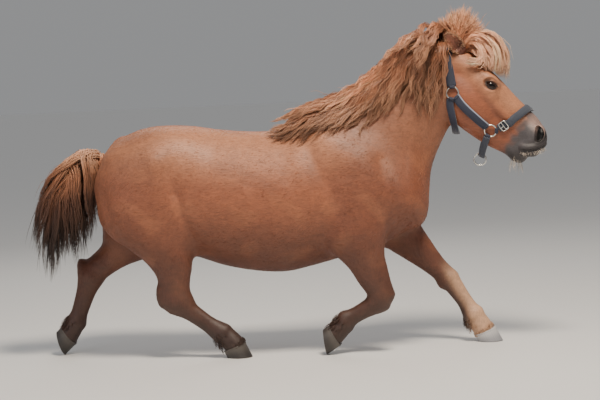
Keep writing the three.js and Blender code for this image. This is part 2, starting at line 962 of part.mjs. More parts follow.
// Forelock: from the poll over the forehead. Each row is where a lock's root is along the poll and
// sideways, then its tip's place along the head, height and side, and the height of its arch.
const FORELOCK = [
  [8, -8, 208, 80, -8, 130],
  [4, 22, 200, 84, 34, 126],
  [0, -32, 186, 82, -46, 120],
  [-4, 34, 142, 66, 74, 98],
  [-2, -40, 146, 64, -76, 98],
  [-22, -14, 176, 116, -20, 156],
  [-20, 14, 160, 118, 22, 158],
];
// The tuft that stands up at the poll: root along and sideways, then the tip's place.
const TUFT = [
  [-36, -24, 608, -44, 1182],
  [-38, 14, 630, 22, 1208],
  [-22, -12, 668, -20, 1213],
  [-12, 18, 706, 30, 1190],
];
function forelockLocks() {
  const random = randomStream(37);
  const arches = FORELOCK.map(([back, out, along, top, side, arch]) =>
    freeLock(
      [
        inHead(back, 40, out),
        inHead(back + 4, arch * 0.7, lerp(out, side, 0.2)),
        inHead(lerp(back, along, 0.36), arch, lerp(out, side, 0.55)),
        inHead(lerp(back, along, 0.76), lerp(top, arch, 0.8), lerp(out, side, 0.9)),
        inHead(along, top, side),
      ],
      () => inHead(0, 0.5, side < 0 ? -1 : 1).sub(inHead(0, 0, 0)),
      62 * lerp(0.9, 1.12, random()),
      LOCK_THICK,
    ),
  );
  const stands = TUFT.map(([back, out, x, y, z]) => {
    const root = inHead(back, 44, out);
    return freeLock(
      [
        root,
        root.clone().add(point(2, out * 0.1, 44)),
        point(lerp(root.x, x, 0.5), y * 0.9, lerp(root.z, z, 0.72)),
        point(x, y, z),
      ],
      () => point(0.2, y >= 0 ? 1 : -1, 0),
      46 * lerp(0.88, 1.12, random()),
      LOCK_THICK,
    );
  });
  return [...arches, ...stands];
}

// Tail: the dock arches off the croup, and locks fall from it.
const DOCK = { at: [-600, 0, 716], dir: [-0.97, 0, 0.1], long: 84, wide: 44, deep: 44 };
const dockCurve = new THREE.CatmullRomCurve3([
  point(-668, 0, 722),
  point(-712, 0, 742),
  point(-752, 0, 722),
  point(-776, 0, 660),
  point(-790, 0, 590),
]);
const tailCore = massOf(
  [
    loft({
      from: [-668, 0, 724],
      dir: [-0.95, 0, 0.2],
      caps: [8, 34],
      stations: [[0, 0, 30, 30], [50, 0, 34, 32], [90, 0, 36, 34]],
    }),
    loft({
      from: [-748, 0, 722],
      dir: [-0.24, 0, -0.97],
      caps: [34, 60],
      stations: [[-10, 0, 36, 34], [90, 0, 50, 40], [230, 0, 40, 30]],
    }),
  ],
  40,
);
// Tips of the tail's locks, as [forward, sideways, height, place of the root along the dock].
const TAIL_TIPS = [
  [-704, -12, 474, 0.16],
  [-716, 16, 440, 0.3],
  [-946, -6, 440, 0.3],
  [-930, 26, 456, 0.38],
  [-918, -26, 372, 0.45],
  [-902, 12, 322, 0.55],
  [-862, -18, 306, 0.62],
  [-826, 22, 312, 0.74],
  [-790, -14, 336, 0.84],
  [-752, 12, 378, 0.9],
  [-724, -24, 420, 0.7],
  [-912, -54, 470, 0.38],
  [-880, 52, 460, 0.48],
  [-840, -66, 404, 0.62],
  [-796, 50, 420, 0.76],
  [-768, -62, 410, 0.84],
  [-736, 46, 466, 0.7],
];
function tailLocks() {
  const random = randomStream(57);
  return TAIL_TIPS.map(([x, y, z, place]) => {
    const root = dockCurve.getPoint(place);
    const start = root.clone().lerp(point(-736, 0, 660), 0.25);
    const swell = point(lerp(root.x, x, 0.36), y * 1.1, lerp(root.z, z, 0.24));
    const low = point(lerp(root.x, x, 0.8), y * 1.25, lerp(root.z, z, 0.66));
    return freeLock(
      [start, root.clone().add(point(0, y * 0.5, 14)), swell, low, point(x, y, z)],
      () => point(x < -800 ? -0.5 : 0.5, y / 30, 0.1),
      66 * lerp(0.85, 1.15, random()),
      LOCK_THICK * 1.3,
      2,
    );
  });
}

const parts = new THREE.Group();
const finishes = {
  coat: new THREE.MeshStandardMaterial({ color: "#a5623f", roughness: 0.75 }),
  tail: new THREE.MeshStandardMaterial({ color: "#8a4f33", roughness: 0.8 }),
  horn: new THREE.MeshStandardMaterial({ color: "#4d4844", roughness: 0.6 }),
  eye: new THREE.MeshStandardMaterial({ color: "#17100c", roughness: 0.08 }),
  webbing: new THREE.MeshStandardMaterial({ color: "#232a3c", roughness: 0.85 }),
  metal: new THREE.MeshStandardMaterial({ color: "#b9b6ac", roughness: 0.3, metalness: 1 }),
};

// Turns the shared edge of a triangle that is thinner than SLIVER, so that cuts leave no needles.
const SLIVER = 0.01;
const SHORTEST = 0.02;
function turnSlivers(geometry) {
  const at = geometry.attributes.position;
  const index = geometry.index.array;
  const owner = new Map();
  const edgeKey = (a, b) => a * at.count + b;
  const own = (t) => {
    for (let k = 0; k < 3; k += 1) owner.set(edgeKey(index[t + k], index[t + ((k + 1) % 3)]), t);
  };
  for (let t = 0; t < index.length; t += 3) own(t);
  const corner = (i) => point(at.getX(i), at.getY(i), at.getZ(i));
  for (let t = 0; t < index.length; t += 3) {
    const corners = [0, 1, 2].map((k) => corner(index[t + k]));
    const sides = corners.map((c, k) => c.distanceTo(corners[(k + 1) % 3]));
    const longest = sides.indexOf(Math.max(...sides));
    const edge = corners[1].clone().sub(corners[0]);
    const area = edge.cross(corners[2].clone().sub(corners[0])).length();
    if (area / sides[longest] > SLIVER) continue;
    const a = index[t + longest];
    const b = index[t + ((longest + 1) % 3)];
    const c = index[t + ((longest + 2) % 3)];
    const other = owner.get(edgeKey(b, a));
    const d = [0, 1, 2].map((k) => index[other + k]).find((i) => i !== a && i !== b);
    if (owner.has(edgeKey(c, d)) || owner.has(edgeKey(d, c))) continue;
    owner.delete(edgeKey(a, b));
    owner.delete(edgeKey(b, a));
    index.set([a, d, c], t);
    index.set([d, b, c], other);
    own(t);
    own(other);
  }
}

// The solid's points, with those that are one by its own count of faces, or very near along an edge.
const APART = 0.05;
function pointsOf(mesh) {
  const places = [];
  for (let i = 0; i < mesh.numVert; i += 1) {
    places.push(point(...mesh.vertProperties.subarray(i * mesh.numProp, i * mesh.numProp + 3)));
  }
  const same = places.map((_, i) => i);
  const first = (i) => {
    let at = i;
    while (same[at] !== at) at = same[at];
    return at;
  };
  mesh.mergeFromVert.forEach((from, k) => {
    same[first(from)] = first(mesh.mergeToVert[k]);
  });
  for (let t = 0; t < mesh.triVerts.length; t += 1) {
    const a = first(mesh.triVerts[t]);
    const b = first(mesh.triVerts[t % 3 === 2 ? t - 2 : t + 1]);
    if (a !== b && places[a].distanceTo(places[b]) < SHORTEST) same[a] = b;
  }
  return { places, first };
}

// Where a body touches itself, the points of each side move in a little, so no edge has four faces.
function partTouching(places, faces) {
  const normals = places.map(() => point(0, 0, 0));
  for (let t = 0; t < faces.length; t += 3) {
    const [a, b, c] = faces.slice(t, t + 3);
    const normal = places[b].clone().sub(places[a]).cross(places[c].clone().sub(places[a]));
    [a, b, c].forEach((i) => normals[i].add(normal));
  }
  const groups = new Map();
  for (const i of new Set(faces)) {
    const key = places[i].toArray().map((value) => Math.round(value / SHORTEST)).join();
    groups.set(key, [...(groups.get(key) ?? []), i]);
  }
  for (const group of groups.values()) {
    if (group.length < 2) continue;
    for (const i of group) places[i].addScaledVector(normals[i].normalize(), -APART);
  }
}

function addPart(name, solid, finish) {
  const mesh = largest(solid).getMesh();
  const { places, first } = pointsOf(mesh);
  const faces = [];
  for (let t = 0; t < mesh.triVerts.length; t += 3) {
    const [a, b, c] = Array.from(mesh.triVerts.subarray(t, t + 3), first);
    if (a !== b && b !== c && c !== a) faces.push(a, b, c);
  }
  partTouching(places, faces);
  const numbers = new Map([...new Set(faces)].map((i, k) => [i, k]));
  const positions = new Float32Array(numbers.size * 3);
  for (const [i, k] of numbers) positions.set(places[i].toArray(), k * 3);
  const geometry = new THREE.BufferGeometry();
  geometry.setAttribute("position", new THREE.BufferAttribute(positions, 3));
  geometry.setIndex(faces.map((i) => numbers.get(i)));
  turnSlivers(geometry);
  const made = new THREE.Mesh(geometry, finishes[finish]);
  made.name = name;
  parts.add(made);
}

// Eyes, and the opening between the lids
const eyeCentre = (side) => inHead(EYE_PLACE[0], EYE_PLACE[1], side * EYE_PLACE[2]);
function eyeball(side, extra = 0) {
  const ball = new THREE.SphereGeometry(EYE_RADIUS + extra, 12, 9);
  const { x, y, z } = eyeCentre(side);
  return solidFrom(ball, new THREE.Matrix4().makeTranslation(x, y, z));
}
const LID = { half: 22, high: 12, low: 10, steps: 16, lean: 0.2, reach: 44, thick: 4.5 };

// The edge of the opening, as a point at a distance from the eye's centre.
function lidPoint(side, turn, spread, distance) {
  const across = Math.cos(turn) * LID.half * spread;
  const height = Math.sin(turn);
  const up = height * (height > 0 ? LID.high : LID.low) * spread;
  const lean = across * LID.lean;
  const centre = eyeCentre(side);
  const axes = axesOf(HEAD_AXIS);
  const forward = axes.along.clone().addScaledVector(axes.top, 0.55).normalize();
  const upward = axes.top.clone().addScaledVector(axes.along, -0.55).normalize();
  const out = point(0, side, 0).addScaledVector(upward, 0.22).addScaledVector(forward, 0.2).normalize();
  const ray = out
    .multiplyScalar(EYE_RADIUS)
    .addScaledVector(forward, across)
    .addScaledVector(upward, up - lean)
    .normalize();
  return centre.addScaledVector(ray, distance);
}
function lidOpening(side) {
  const rings = [EYE_RADIUS * 0.7, LID.reach].map((distance) =>
    Array.from({ length: LID.steps }, (_, i) =>
      lidPoint(side, (i / LID.steps) * 2 * Math.PI, 1, distance),
    ),
  );
  return sweep(rings, { strip: true });
}
function lidRim(side) {
  const rings = Array.from({ length: LID.steps }, (_, i) => {
    const turn = (i / LID.steps) * 2 * Math.PI;
    const near = EYE_RADIUS + 0.8;
    const far = EYE_RADIUS + 0.8 + LID.thick;
    return [
      lidPoint(side, turn, 1, near),
      lidPoint(side, turn, 1.08, far),
      lidPoint(side, turn, 1.42, far - 1.5),
      lidPoint(side, turn, 1.5, near - 3),
    ];
  });
  return sweep(rings, { closed: true });
}

// Ears: cups that open sideways and back, on a root sunk into the poll
const EAR_BASE = [-4, 44, 60];
const EAR_TIP = [590, 114, 1114];
const earBase = (side) => inHead(EAR_BASE[0], EAR_BASE[1], side * EAR_BASE[2]);
const earTip = (side) => point(EAR_TIP[0], side * EAR_TIP[1], EAR_TIP[2]);
const EAR = { long: 92, wide: 27, deep: 17, wall: 5, root: 14, bend: 18, steps: 6 };
function ear(side, extra = 0) {
  const base = earBase(side);
  const along = earTip(side).sub(base).normalize();
  const open = point(0.25, side, -0.1).addScaledVector(along, -0.4);
  open.addScaledVector(along, -open.dot(along)).normalize();
  const across = along.clone().cross(open);
  const width = through([[-0.2, 0.62], [0, 0.72], [0.25, 1], [0.55, 0.86], [0.85, 0.36], [1, 0.12]], 1);
  const rings = [];
  for (let i = 0; i <= EAR.steps + 1; i += 1) {
    const t = i === 0 ? -EAR.root / EAR.long : (i - 1) / EAR.steps;
    const wide = EAR.wide * width(t);
    const deep = EAR.deep * width(t);
    const root = i < 2;
    const centre = base.clone().addScaledVector(along, t * EAR.long - (i === 0 ? extra : 0));
    centre.addScaledVector(open, -EAR.bend * t * t);
    const ring = [];
    const arc = (half, depth, from, to, count) => {
      for (let j = 0; j <= count; j += 1) {
        const turn = lerp(from, to, j / count);
        ring.push(
          centre
            .clone()
            .addScaledVector(across, Math.cos(turn) * half)
            .addScaledVector(open, -Math.sin(turn) * depth),
        );
      }
    };
    arc(wide + extra, deep + extra, 0, Math.PI, 5);
    if (root) arc(wide * 0.8 + extra, -deep * 0.7 - extra, Math.PI, 0, 4);
    else arc(wide * 0.8 - extra, Math.max(deep - EAR.wall, 0.5) - extra, Math.PI, 0, 4);
    rings.push(ring);
  }
  return sweep(rings, { strip: true });
}

// Nostrils, each a comma-shaped hollow
function nostril(side) {
  const { along, top } = headAxes;
  const hollow = new THREE.SphereGeometry(1, 10, 7);
  hollow.scale(17, 10, 16);
  const lie = along.clone().multiplyScalar(0.86).addScaledVector(top, -0.5).normalize();
  const out = point(0, side, 0).addScaledVector(along, 0.5).normalize();
  out.addScaledVector(lie, -out.dot(lie)).normalize();
  const turn = new THREE.Matrix4().makeBasis(lie, out.clone().cross(lie), out);
  const at = onBody(inHead(396, 14, side * 46), -3);
  turn.setPosition(at);
  return solidFrom(hollow, turn);
}

// The line of the mouth, from corner to corner round the lips
const MOUTH = { corner: 352, front: 452, deep: 13, gap: 2.4, steps: 12 };
function mouthLine() {
  const rings = Array.from({ length: MOUTH.steps + 1 }, (_, i) => {
    const turn = lerp(-Math.PI / 2, Math.PI / 2, i / MOUTH.steps);
    const along = lerp(MOUTH.corner, MOUTH.front - 22, Math.cos(turn) ** 0.8);
    const seed = inHead(along, -44 - 10 * Math.cos(turn), Math.sin(turn) * 60);
    const lip = onBody(seed, 3);
    const inside = lip.clone().addScaledVector(steepest(body, lip).normalize(), -MOUTH.deep);
    const half = headAxes.top.clone().multiplyScalar(MOUTH.gap / 2);
    return [lip.clone().add(half), lip.clone().sub(half), inside];
  });
  return sweep(rings);
}

// Straps lie on the body along a path, at a height above it.
function layOn(p, height, free) {
  return free && body(p) > height ? p.clone() : onBody(p, height);
}
function strap(path, { width = STRAP_WIDTH, thick = STRAP_THICKNESS, rest = 2.2, extra = 0, free = false }) {
  const curve = new THREE.CatmullRomCurve3(
    path.map((p) => layOn(p, rest, free)),
    false,
    "centripetal",
  );
  const count = Math.max(Math.round(curve.getLength() / 21), 2);
  const spots = curve.getSpacedPoints(count).map((p) => layOn(p, rest, free));
  const rings = spots.map((p, i) => {
    const tangent = spots[Math.min(i + 1, count)].clone().sub(spots[Math.max(i - 1, 0)]).normalize();
    const out = steepest(body, p).normalize();
    const across = out.clone().cross(tangent).normalize();
    const offsets = [-1, 0, 1].map((k) => k * (width / 2 + extra));
    const inner = offsets.map((offset) => {
      const seed = p.clone().addScaledVector(across, offset);
      return layOn(seed, rest - extra, free);
    });
    const lifted = (q) => q.clone().addScaledVector(steepest(body, q).normalize(), thick + 2 * extra);
    const outer = inner.map(lifted);
    return [...inner, ...outer.reverse()];
  });
  if (extra) {
    rings[0].forEach((q) => q.addScaledVector(spots[0].clone().sub(spots[1]).normalize(), extra));
    const last = spots[count].clone().sub(spots[count - 1]).normalize();
    rings[count].forEach((q) => q.addScaledVector(last, extra));
  }
  return sweep(rings, { strip: true });
}
const halfCrown = [
  [52, -67, 84],
  [16, -41, 80],
  [-30, -9, 76],
  [-52, 25, 64],
  [-61, 52, 36],
];
const crownPath = [
  ...halfCrown.map(([along, top, out]) => inHead(along, top, -out)),
  inHead(-64, 66, 0),
  ...halfCrown.map(([along, top, out]) => inHead(along, top, out)).reverse(),
];
const throat = [
  [94, -116, 78],
  [138, -148, 74],
  [172, -170, 48],
  [184, -178, 0],
];
const throatPath = [
  ...throat.map(([along, top, out]) => inHead(along, top, -out)),
  ...throat.slice(0, -1).map(([along, top, out]) => inHead(along, top, out)).reverse(),
];
const THROAT = { width: 26, free: true };
const chin = [
  [267, -120, 56],
  [288, -150, 34],
  [306, -178, 0],
];
const chinPath = [
  ...chin.map(([along, top, out]) => inHead(along, top, -out)),
  ...chin.slice(0, -1).map(([along, top, out]) => inHead(along, top, out)).reverse(),
];
const CHIN = { width: 24, free: true };
const RING = { radius: 21, wire: 3, rest: 5 };
const ringPlaces = { upper: [76, -85, 80], lower: [263, -88, 60] };
function ring(place, side) {
  const at = onBody(inHead(place[0], place[1], side * place[2]), RING.rest);
  const out = steepest(body, at).normalize();
  const turn = new THREE.Matrix4().makeRotationFromQuaternion(
    new THREE.Quaternion().setFromUnitVectors(point(0, 0, 1), out),
  );
  return solidFrom(new THREE.TorusGeometry(RING.radius, RING.wire, 5, 14), turn.setPosition(at));
}

// The ring for a lead hangs on the middle of the chin strap, which runs through it.
const LEAD_RING = { radius: 21, wire: 3, below: 9 };
function leadRing() {
  const on = inHead(...chin[chin.length - 1].slice(0, 2), 0);
  const at = on.addScaledVector(steepest(body, on).normalize(), LEAD_RING.below);
  const turn = new THREE.Matrix4().makeRotationX(Math.PI / 2).setPosition(at);
  return solidFrom(new THREE.TorusGeometry(LEAD_RING.radius, LEAD_RING.wire, 5, 14), turn);
}

// A buckle's frame with its bar lies on the right end of the noseband.
const BUCKLE = { at: [284, -44, -62], along: [-0.15, -1, 0], wide: 36, long: 30, thick: 4, bar: 4, off: 11 };
function buckle() {
  const at = onBody(inHead(...BUCKLE.at), BUCKLE.off);
  const out = steepest(body, at).normalize();
  const along = inHead(...BUCKLE.along).sub(inHead(0, 0, 0));
  along.addScaledVector(out, -along.dot(out)).normalize();
  const across = out.clone().cross(along);
  const frame = new THREE.Matrix4().makeBasis(across, out, along).setPosition(at);
  const plate = new THREE.BoxGeometry(BUCKLE.wide, BUCKLE.thick, BUCKLE.long);
  const window = (BUCKLE.long - 3 * BUCKLE.bar) / 2;
  const hole = new THREE.BoxGeometry(BUCKLE.wide - 2 * BUCKLE.bar, 2 * BUCKLE.thick, window);
  const shift = (window + BUCKLE.bar) / 2;
  return [-shift, shift].reduce((plateLeft, z) => {
    const place = frame.clone().multiply(new THREE.Matrix4().makeTranslation(0, 0, z));
    return plateLeft.subtract(solidFrom(hole.clone(), place));
  }, solidFrom(plate, frame));
}

// Head
const headAxes = axesOf(HEAD_AXIS);
const headBasis = new THREE.Matrix4()
  .makeBasis(headAxes.along, headAxes.side, headAxes.top)
  .setPosition(...HEAD_ORIGIN);
const crownSpace = strap(crownPath, { extra: 0.6 });
const throatSpace = [0.4, 0.8, 1.6]
  .map((extra) => strap(throatPath, { ...THROAT, extra }))
  .reduce((all, space) => all.add(space));
const HEAD_BOX = { low: [-140, -150, -190], high: [470, 150, 150], cell: [23, 20, 21], basis: headBasis };
let head = largest(keepAbove(skin(headWithCore, HEAD_BOX).subtract(mouthLine()), headPlane));
for (const lock of forelockLocks()) head = head.add(lock);
head = keepAbove(head, headPlane).subtract(crownSpace).subtract(throatSpace);
bothSides((side) => {
  head = head.add(lidRim(side)).subtract(eyeball(side, GAP)).subtract(lidOpening(side));
  head = head.subtract(nostril(side)).subtract(ear(side, GAP));
});
addPart("head", head, "coat");

// Neck and mane
const trunkSkin = skin(neckWithCore, { low: [-760, -300, 240], high: [700, 300, 1230], cell: [52, 43, 48] });
let neck = largest(keepAbove(trunkSkin, neckPlane));
for (const lock of [...maneLocks(), ...crestLocks()]) neck = neck.add(lock);
neck = keepBelow(neck, headPlane).subtract(crownSpace).subtract(throatSpace);
addPart("neck", neck, "coat");

// Trunk
let trunk = largest(keepBelow(trunkSkin, neckPlane));
for (const leg of Object.values(LEGS)) trunk = trunk.subtract(legRoom(leg, -GAP / 2));
const dockSpace = { ...DOCK, wide: DOCK.wide + 2 * GAP, deep: DOCK.deep + 2 * GAP };
trunk = trunk.subtract(boxAlong(dockSpace, -GAP));
addPart("torso", trunk, "coat");

// Legs and hooves
const LEG_CELL = [25, 22, 25];
for (const [name, leg] of Object.entries(LEGS)) {
  const hoof = HOOVES[name];
  const { normal, crown } = hoofFrame(hoof);
  const grown = skin(body, { ...leg, cell: LEG_CELL }).intersect(legRoom(leg, GAP / 2));
  addPart(name, grown.trimByPlane(normal.toArray(), normal.dot(crown) + GAP), "coat");
  addPart(hoof.hoof, hoofSolid(hoof).trimByPlane([0, 0, 1], 0), "horn");
}

// Tail
let tail = skin(tailCore, { low: [-860, -90, 420], high: [-640, 90, 800], cell: [30, 28, 32] });
tailLocks().forEach((lock) => {
  tail = tail.add(lock);
});
addPart("tail", tail.add(boxAlong(DOCK)), "tail");

// Ears and eyes
bothSides((side) => {
  const name = side === LEFT ? "left" : "right";
  addPart(`ear_${name}`, ear(side), "coat");
  addPart(`eye_${name}`, eyeball(side), "eye");
});

// Halter
addPart("halter_crownpiece", strap(crownPath, {}), "webbing");
const nosePath = [-1, -0.8, -0.45, 0, 0.45, 0.8, 1].map((t) => {
  const down = Math.abs(t);
  return inHead(lerp(312, 278, down), lerp(62, -64, down ** 1.6), t * 60);
});
addPart("halter_noseband", strap(nosePath, { width: 28 }), "webbing");
bothSides((side) => {
  const name = side === LEFT ? "left" : "right";
  const cheek = [
    [105, -88, 80],
    [150, -92, 88],
    [195, -92, 84],
    [238, -90, 70],
  ].map(([along, top, out]) => inHead(along, top, side * out));
  addPart(`halter_cheek_strap_${name}`, strap(cheek, { width: 29 }), "webbing");
  addPart(`halter_ring_upper_${name}`, ring(ringPlaces.upper, side), "metal");
  addPart(`halter_ring_lower_${name}`, ring(ringPlaces.lower, side), "metal");
});

addPart("halter_throat_strap", strap(throatPath, THROAT), "webbing");
addPart("halter_chin_strap", strap(chinPath, CHIN), "webbing");
addPart("halter_lead_ring", leadRing(), "metal");
addPart("halter_buckle", buckle(), "metal");

// The origin is on the floor under the middle of the pony.
const box = new THREE.Box3().setFromObject(parts);
const middle = box.getCenter(point(0, 0, 0));
parts.position.set(-middle.x, -middle.y, -box.min.z);

export default parts;
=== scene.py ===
# %% [markdown]
# A shetland pony at a trot, life size, wearing a padded webbing halter. The imported CAD model is
# loaded first. It fixes the size and the place of everything.

import math

import bpy
import numpy as np
import openvdb
from mathutils import Matrix, Vector


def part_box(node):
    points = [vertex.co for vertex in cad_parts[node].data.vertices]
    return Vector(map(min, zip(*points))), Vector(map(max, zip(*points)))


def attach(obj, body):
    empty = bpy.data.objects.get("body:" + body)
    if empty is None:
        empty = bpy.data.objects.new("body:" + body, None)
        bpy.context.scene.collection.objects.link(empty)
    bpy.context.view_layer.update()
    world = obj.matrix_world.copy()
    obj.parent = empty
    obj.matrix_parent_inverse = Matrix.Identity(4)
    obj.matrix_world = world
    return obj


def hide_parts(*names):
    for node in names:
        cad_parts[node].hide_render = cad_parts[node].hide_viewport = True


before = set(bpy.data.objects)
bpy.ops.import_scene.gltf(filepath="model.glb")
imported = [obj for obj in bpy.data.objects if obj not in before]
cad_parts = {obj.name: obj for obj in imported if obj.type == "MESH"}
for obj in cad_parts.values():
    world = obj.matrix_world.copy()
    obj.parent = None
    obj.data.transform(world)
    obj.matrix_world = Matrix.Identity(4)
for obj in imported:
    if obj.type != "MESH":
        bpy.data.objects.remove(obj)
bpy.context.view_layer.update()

# %% [markdown]
# The pony's shapes are given in millimetres, as a sculptor's drawing would have them, and turned
# to metres when a mesh is made. The CAD part was centred over its own middle, so the drawing is
# shifted by the same amount. The eyes show by how much.

# %% Units, directions and small helpers
MM = 0.001
RIGHT, LEFT = -1, 1
ALONG_BODY = (1, 0, 0)
HEAD_ORIGIN = np.array([622.0, 0, 1015])
HEAD_AXIS = (0.689, 0, -0.725)
NECK_ORIGIN, NECK_AXIS = (150, 0, 640), (0.833, 0, 0.553)
EYE_PLACE = (153, 22, 61)
EYE_RADIUS = 25


def unit(rows):
    """Rows of vectors, each made one long."""
    rows = np.asarray(rows, float)
    return rows / np.maximum(np.linalg.norm(rows, axis=-1, keepdims=True), 1e-9)


def axes_of(direction):
    """The axes of a body part: along it, towards its top or front, and sideways."""
    along = unit(direction)
    side = unit(np.array([0, 1, 0]) - along * along[1])
    return np.array([along, np.cross(along, side), side])


HEAD_AXES = axes_of(HEAD_AXIS)


def in_head(along, top, side):
    """A place given in the head's own directions, as a place in the drawing."""
    return HEAD_ORIGIN + along * HEAD_AXES[0] + top * HEAD_AXES[1] + np.array([0, side, 0])


eye_low, eye_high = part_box("eye_left")
SHIFT = (np.array(eye_low) + np.array(eye_high)) / 2 / MM - in_head(*EYE_PLACE)
print("the drawing is shifted by", SHIFT.round(2), "mm")


def linear(hex_colour):
    """An sRGB hex colour as linear red, green and blue."""
    parts = np.array([int(hex_colour[i : i + 2], 16) / 255 for i in (1, 3, 5)])
    return np.where(parts <= 0.04045, parts / 12.92, ((parts + 0.055) / 1.055) ** 2.4)


def smooth(low, high, value):
    """0 below low, 1 above high, and a smooth step between."""
    t = np.clip((np.asarray(value, float) - low) / (high - low), 0, 1)
    return t * t * (3 - 2 * t)


def through(rows, places):
    """A value that runs smoothly through rows of (place, value), and is flat past the ends."""
    rows = np.array(rows, float)
    x, y = rows[:, 0], rows[:, 1]
    before = np.r_[0, np.arange(len(x) - 1)]
    after = np.r_[np.arange(1, len(x)), len(x) - 1]
    slope = (y[after] - y[before]) / (x[after] - x[before])
    p = np.clip(places, x[0], x[-1])
    i = np.clip(np.searchsorted(x, p, side="right") - 1, 0, len(x) - 2)
    span = x[i + 1] - x[i]
    t = (p - x[i]) / span
    rise = (3 - 2 * t) * t * t
    bend = t * (1 - t) * span * ((1 - t) * slope[i] - t * slope[i + 1])
    return y[i] * (1 - rise) + y[i + 1] * rise + bend


# %% [markdown]
# A museum would show the pony on a plain pale floor under soft, wide lamps. A large lamp in front
# of and above the pony's near side gives the coat its sheen, a weaker one fills the far side, and
# one behind draws a light edge along the back. The camera stands to the pony's right at the height
# of its poll and looks slightly down, with a long lens.

# %% Camera
PHOTO_WIDTH = 600
LOOK_AT = np.array([55.0, 0, 543]) + SHIFT
TURN, DOWN, TILT = math.radians(5), math.radians(3.93), math.radians(2.6)
DISTANCE = 6500
SCALE = 0.28
SENSOR = 36.0

back = np.array([math.sin(TURN) * math.cos(DOWN), -math.cos(TURN) * math.cos(DOWN), math.sin(DOWN)])
right = unit(np.cross([0, 0, 1], back))
up = np.cross(back, right)
right, up = (
    right * math.cos(TILT) - up * math.sin(TILT),
    up * math.cos(TILT) + right * math.sin(TILT),
)
camera = bpy.data.objects.new("camera", bpy.data.cameras.new("camera"))
bpy.context.scene.collection.objects.link(camera)
turned = Matrix([[*row] for row in np.column_stack([right, up, back])]).to_4x4()
camera.matrix_world = Matrix.Translation((LOOK_AT + back * DISTANCE) * MM) @ turned
camera.data.sensor_width = SENSOR
camera.data.lens = SENSOR * SCALE * DISTANCE / PHOTO_WIDTH
bpy.context.scene.camera = camera
print("camera at", [round(v, 3) for v in camera.location], "lens", round(camera.data.lens, 1), "mm")

# %% [markdown]
# A finish is a chain of nodes that ends in one surface. One small function adds a node and joins
# it to those before it, so each finish below reads as a list of what it is made of.

# %% Materials are built from nodes by one small function


def material(name):
    """A new material with an empty shader, its nodes, and the surface socket to fill."""
    made = bpy.data.materials.new(name)
    made.use_nodes = True
    made.node_tree.nodes.clear()
    return made


def node(made, kind, settings=None, **links):
    """Adds a node. Settings are its properties, links are sockets: a value, or a socket to join."""
    new = made.node_tree.nodes.new(kind)
    for key, value in (settings or {}).items():
        setattr(new, key, value)
    for key, value in links.items():
        name = key.replace("_", " ")
        socket = new.inputs[int(key[1:])] if key[1:].isdigit() else new.inputs[name]
        if isinstance(value, bpy.types.NodeSocket):
            made.node_tree.links.new(value, socket)
        else:
            socket.default_value = value
    return new


def finish_surface(made, shader):
    """Joins a shader to the material's output."""
    node(made, "ShaderNodeOutputMaterial", Surface=shader.outputs[0])
    return made


# %% [markdown]
# The floor is one wide pale sheet with a matt paint, on which a shadow stays soft. Each lamp is a
# lit square of a metre or more, as the edge of a shadow is softer the wider its lamp is.

# %% Floor and lamps
FLOOR_HALF = 60.0
WORLD_LOW, WORLD_HIGH = 0.32, 0.42
floor_mesh = bpy.data.meshes.new("floor")
corners = [(x * FLOOR_HALF, y * FLOOR_HALF, 0) for x, y in ((-1, -1), (1, -1), (1, 1), (-1, 1))]
floor_mesh.from_pydata(corners, [], [(0, 1, 2, 3)])
floor = bpy.data.objects.new("floor", floor_mesh)
bpy.context.scene.collection.objects.link(floor)
floor_paint = material("painted studio floor")
floor_grain = node(floor_paint, "ShaderNodeTexNoise", Scale=60.0, Detail=4.0)
floor_bump = node(floor_paint, "ShaderNodeBump", Strength=0.05, Distance=0.001,
                  Height=floor_grain.outputs["Fac"])
floor_shader = node(floor_paint, "ShaderNodeBsdfPrincipled", Roughness=0.7,
                    Base_Color=(*linear("#dfdedc"), 1), Normal=floor_bump.outputs[0])
floor_mesh.materials.append(finish_surface(floor_paint, floor_shader))


def lamp(name, place, aim, size, power, colour):
    """A square soft lamp at a place in metres, turned to its aim."""
    light = bpy.data.lights.new(name, "AREA")
    light.size, light.energy, light.color = size, power, linear(colour)
    held = bpy.data.objects.new(name, light)
    held.location = place
    held.rotation_euler = (Vector(aim) - Vector(place)).to_track_quat("-Z", "Y").to_euler()
    bpy.context.scene.collection.objects.link(held)


lamp("key lamp", (0.9, -1.9, 4.0), (0.1, 0, 0.6), 1.1, 235, "#fff1de")
lamp("fill lamp", (-2.8, -3.2, 1.8), (0, 0, 0.5), 2.4, 22, "#eef3ff")
lamp("back lamp", (-0.6, 3.4, 2.8), (0, 0, 0.7), 2.0, 26, "#fffaf2")
world = bpy.data.worlds.new("studio")
bpy.context.scene.world = world
world.use_nodes = True
direction = node(world, "ShaderNodeTexCoord")
height = node(world, "ShaderNodeSeparateXYZ", Vector=direction.outputs["Generated"])
dome = node(world, "ShaderNodeMapRange", {"interpolation_type": "SMOOTHSTEP"}, Value=height.outputs["Z"],
            From_Min=0.0, From_Max=0.5, To_Min=WORLD_LOW, To_Max=WORLD_HIGH)
world.node_tree.links.new(dome.outputs[0], world.node_tree.nodes["Background"].inputs["Strength"])
world.node_tree.nodes["Background"].inputs["Color"].default_value = (*linear("#f4f5f7"), 1)
print("three lamps, a pale floor and a dome of light")

# %% [markdown]
# The pony's flesh is drawn as one smooth field: a number for each place, below zero inside. Long
# shapes with an elliptical section and egg shapes are joined with a soft blend, as clay is pressed
# on clay. Meshing a field gives skin that flows over the shoulder and into the legs with no seam,
# which joined tubes would not.

# %% Shapes of the field
FAR = 150.0


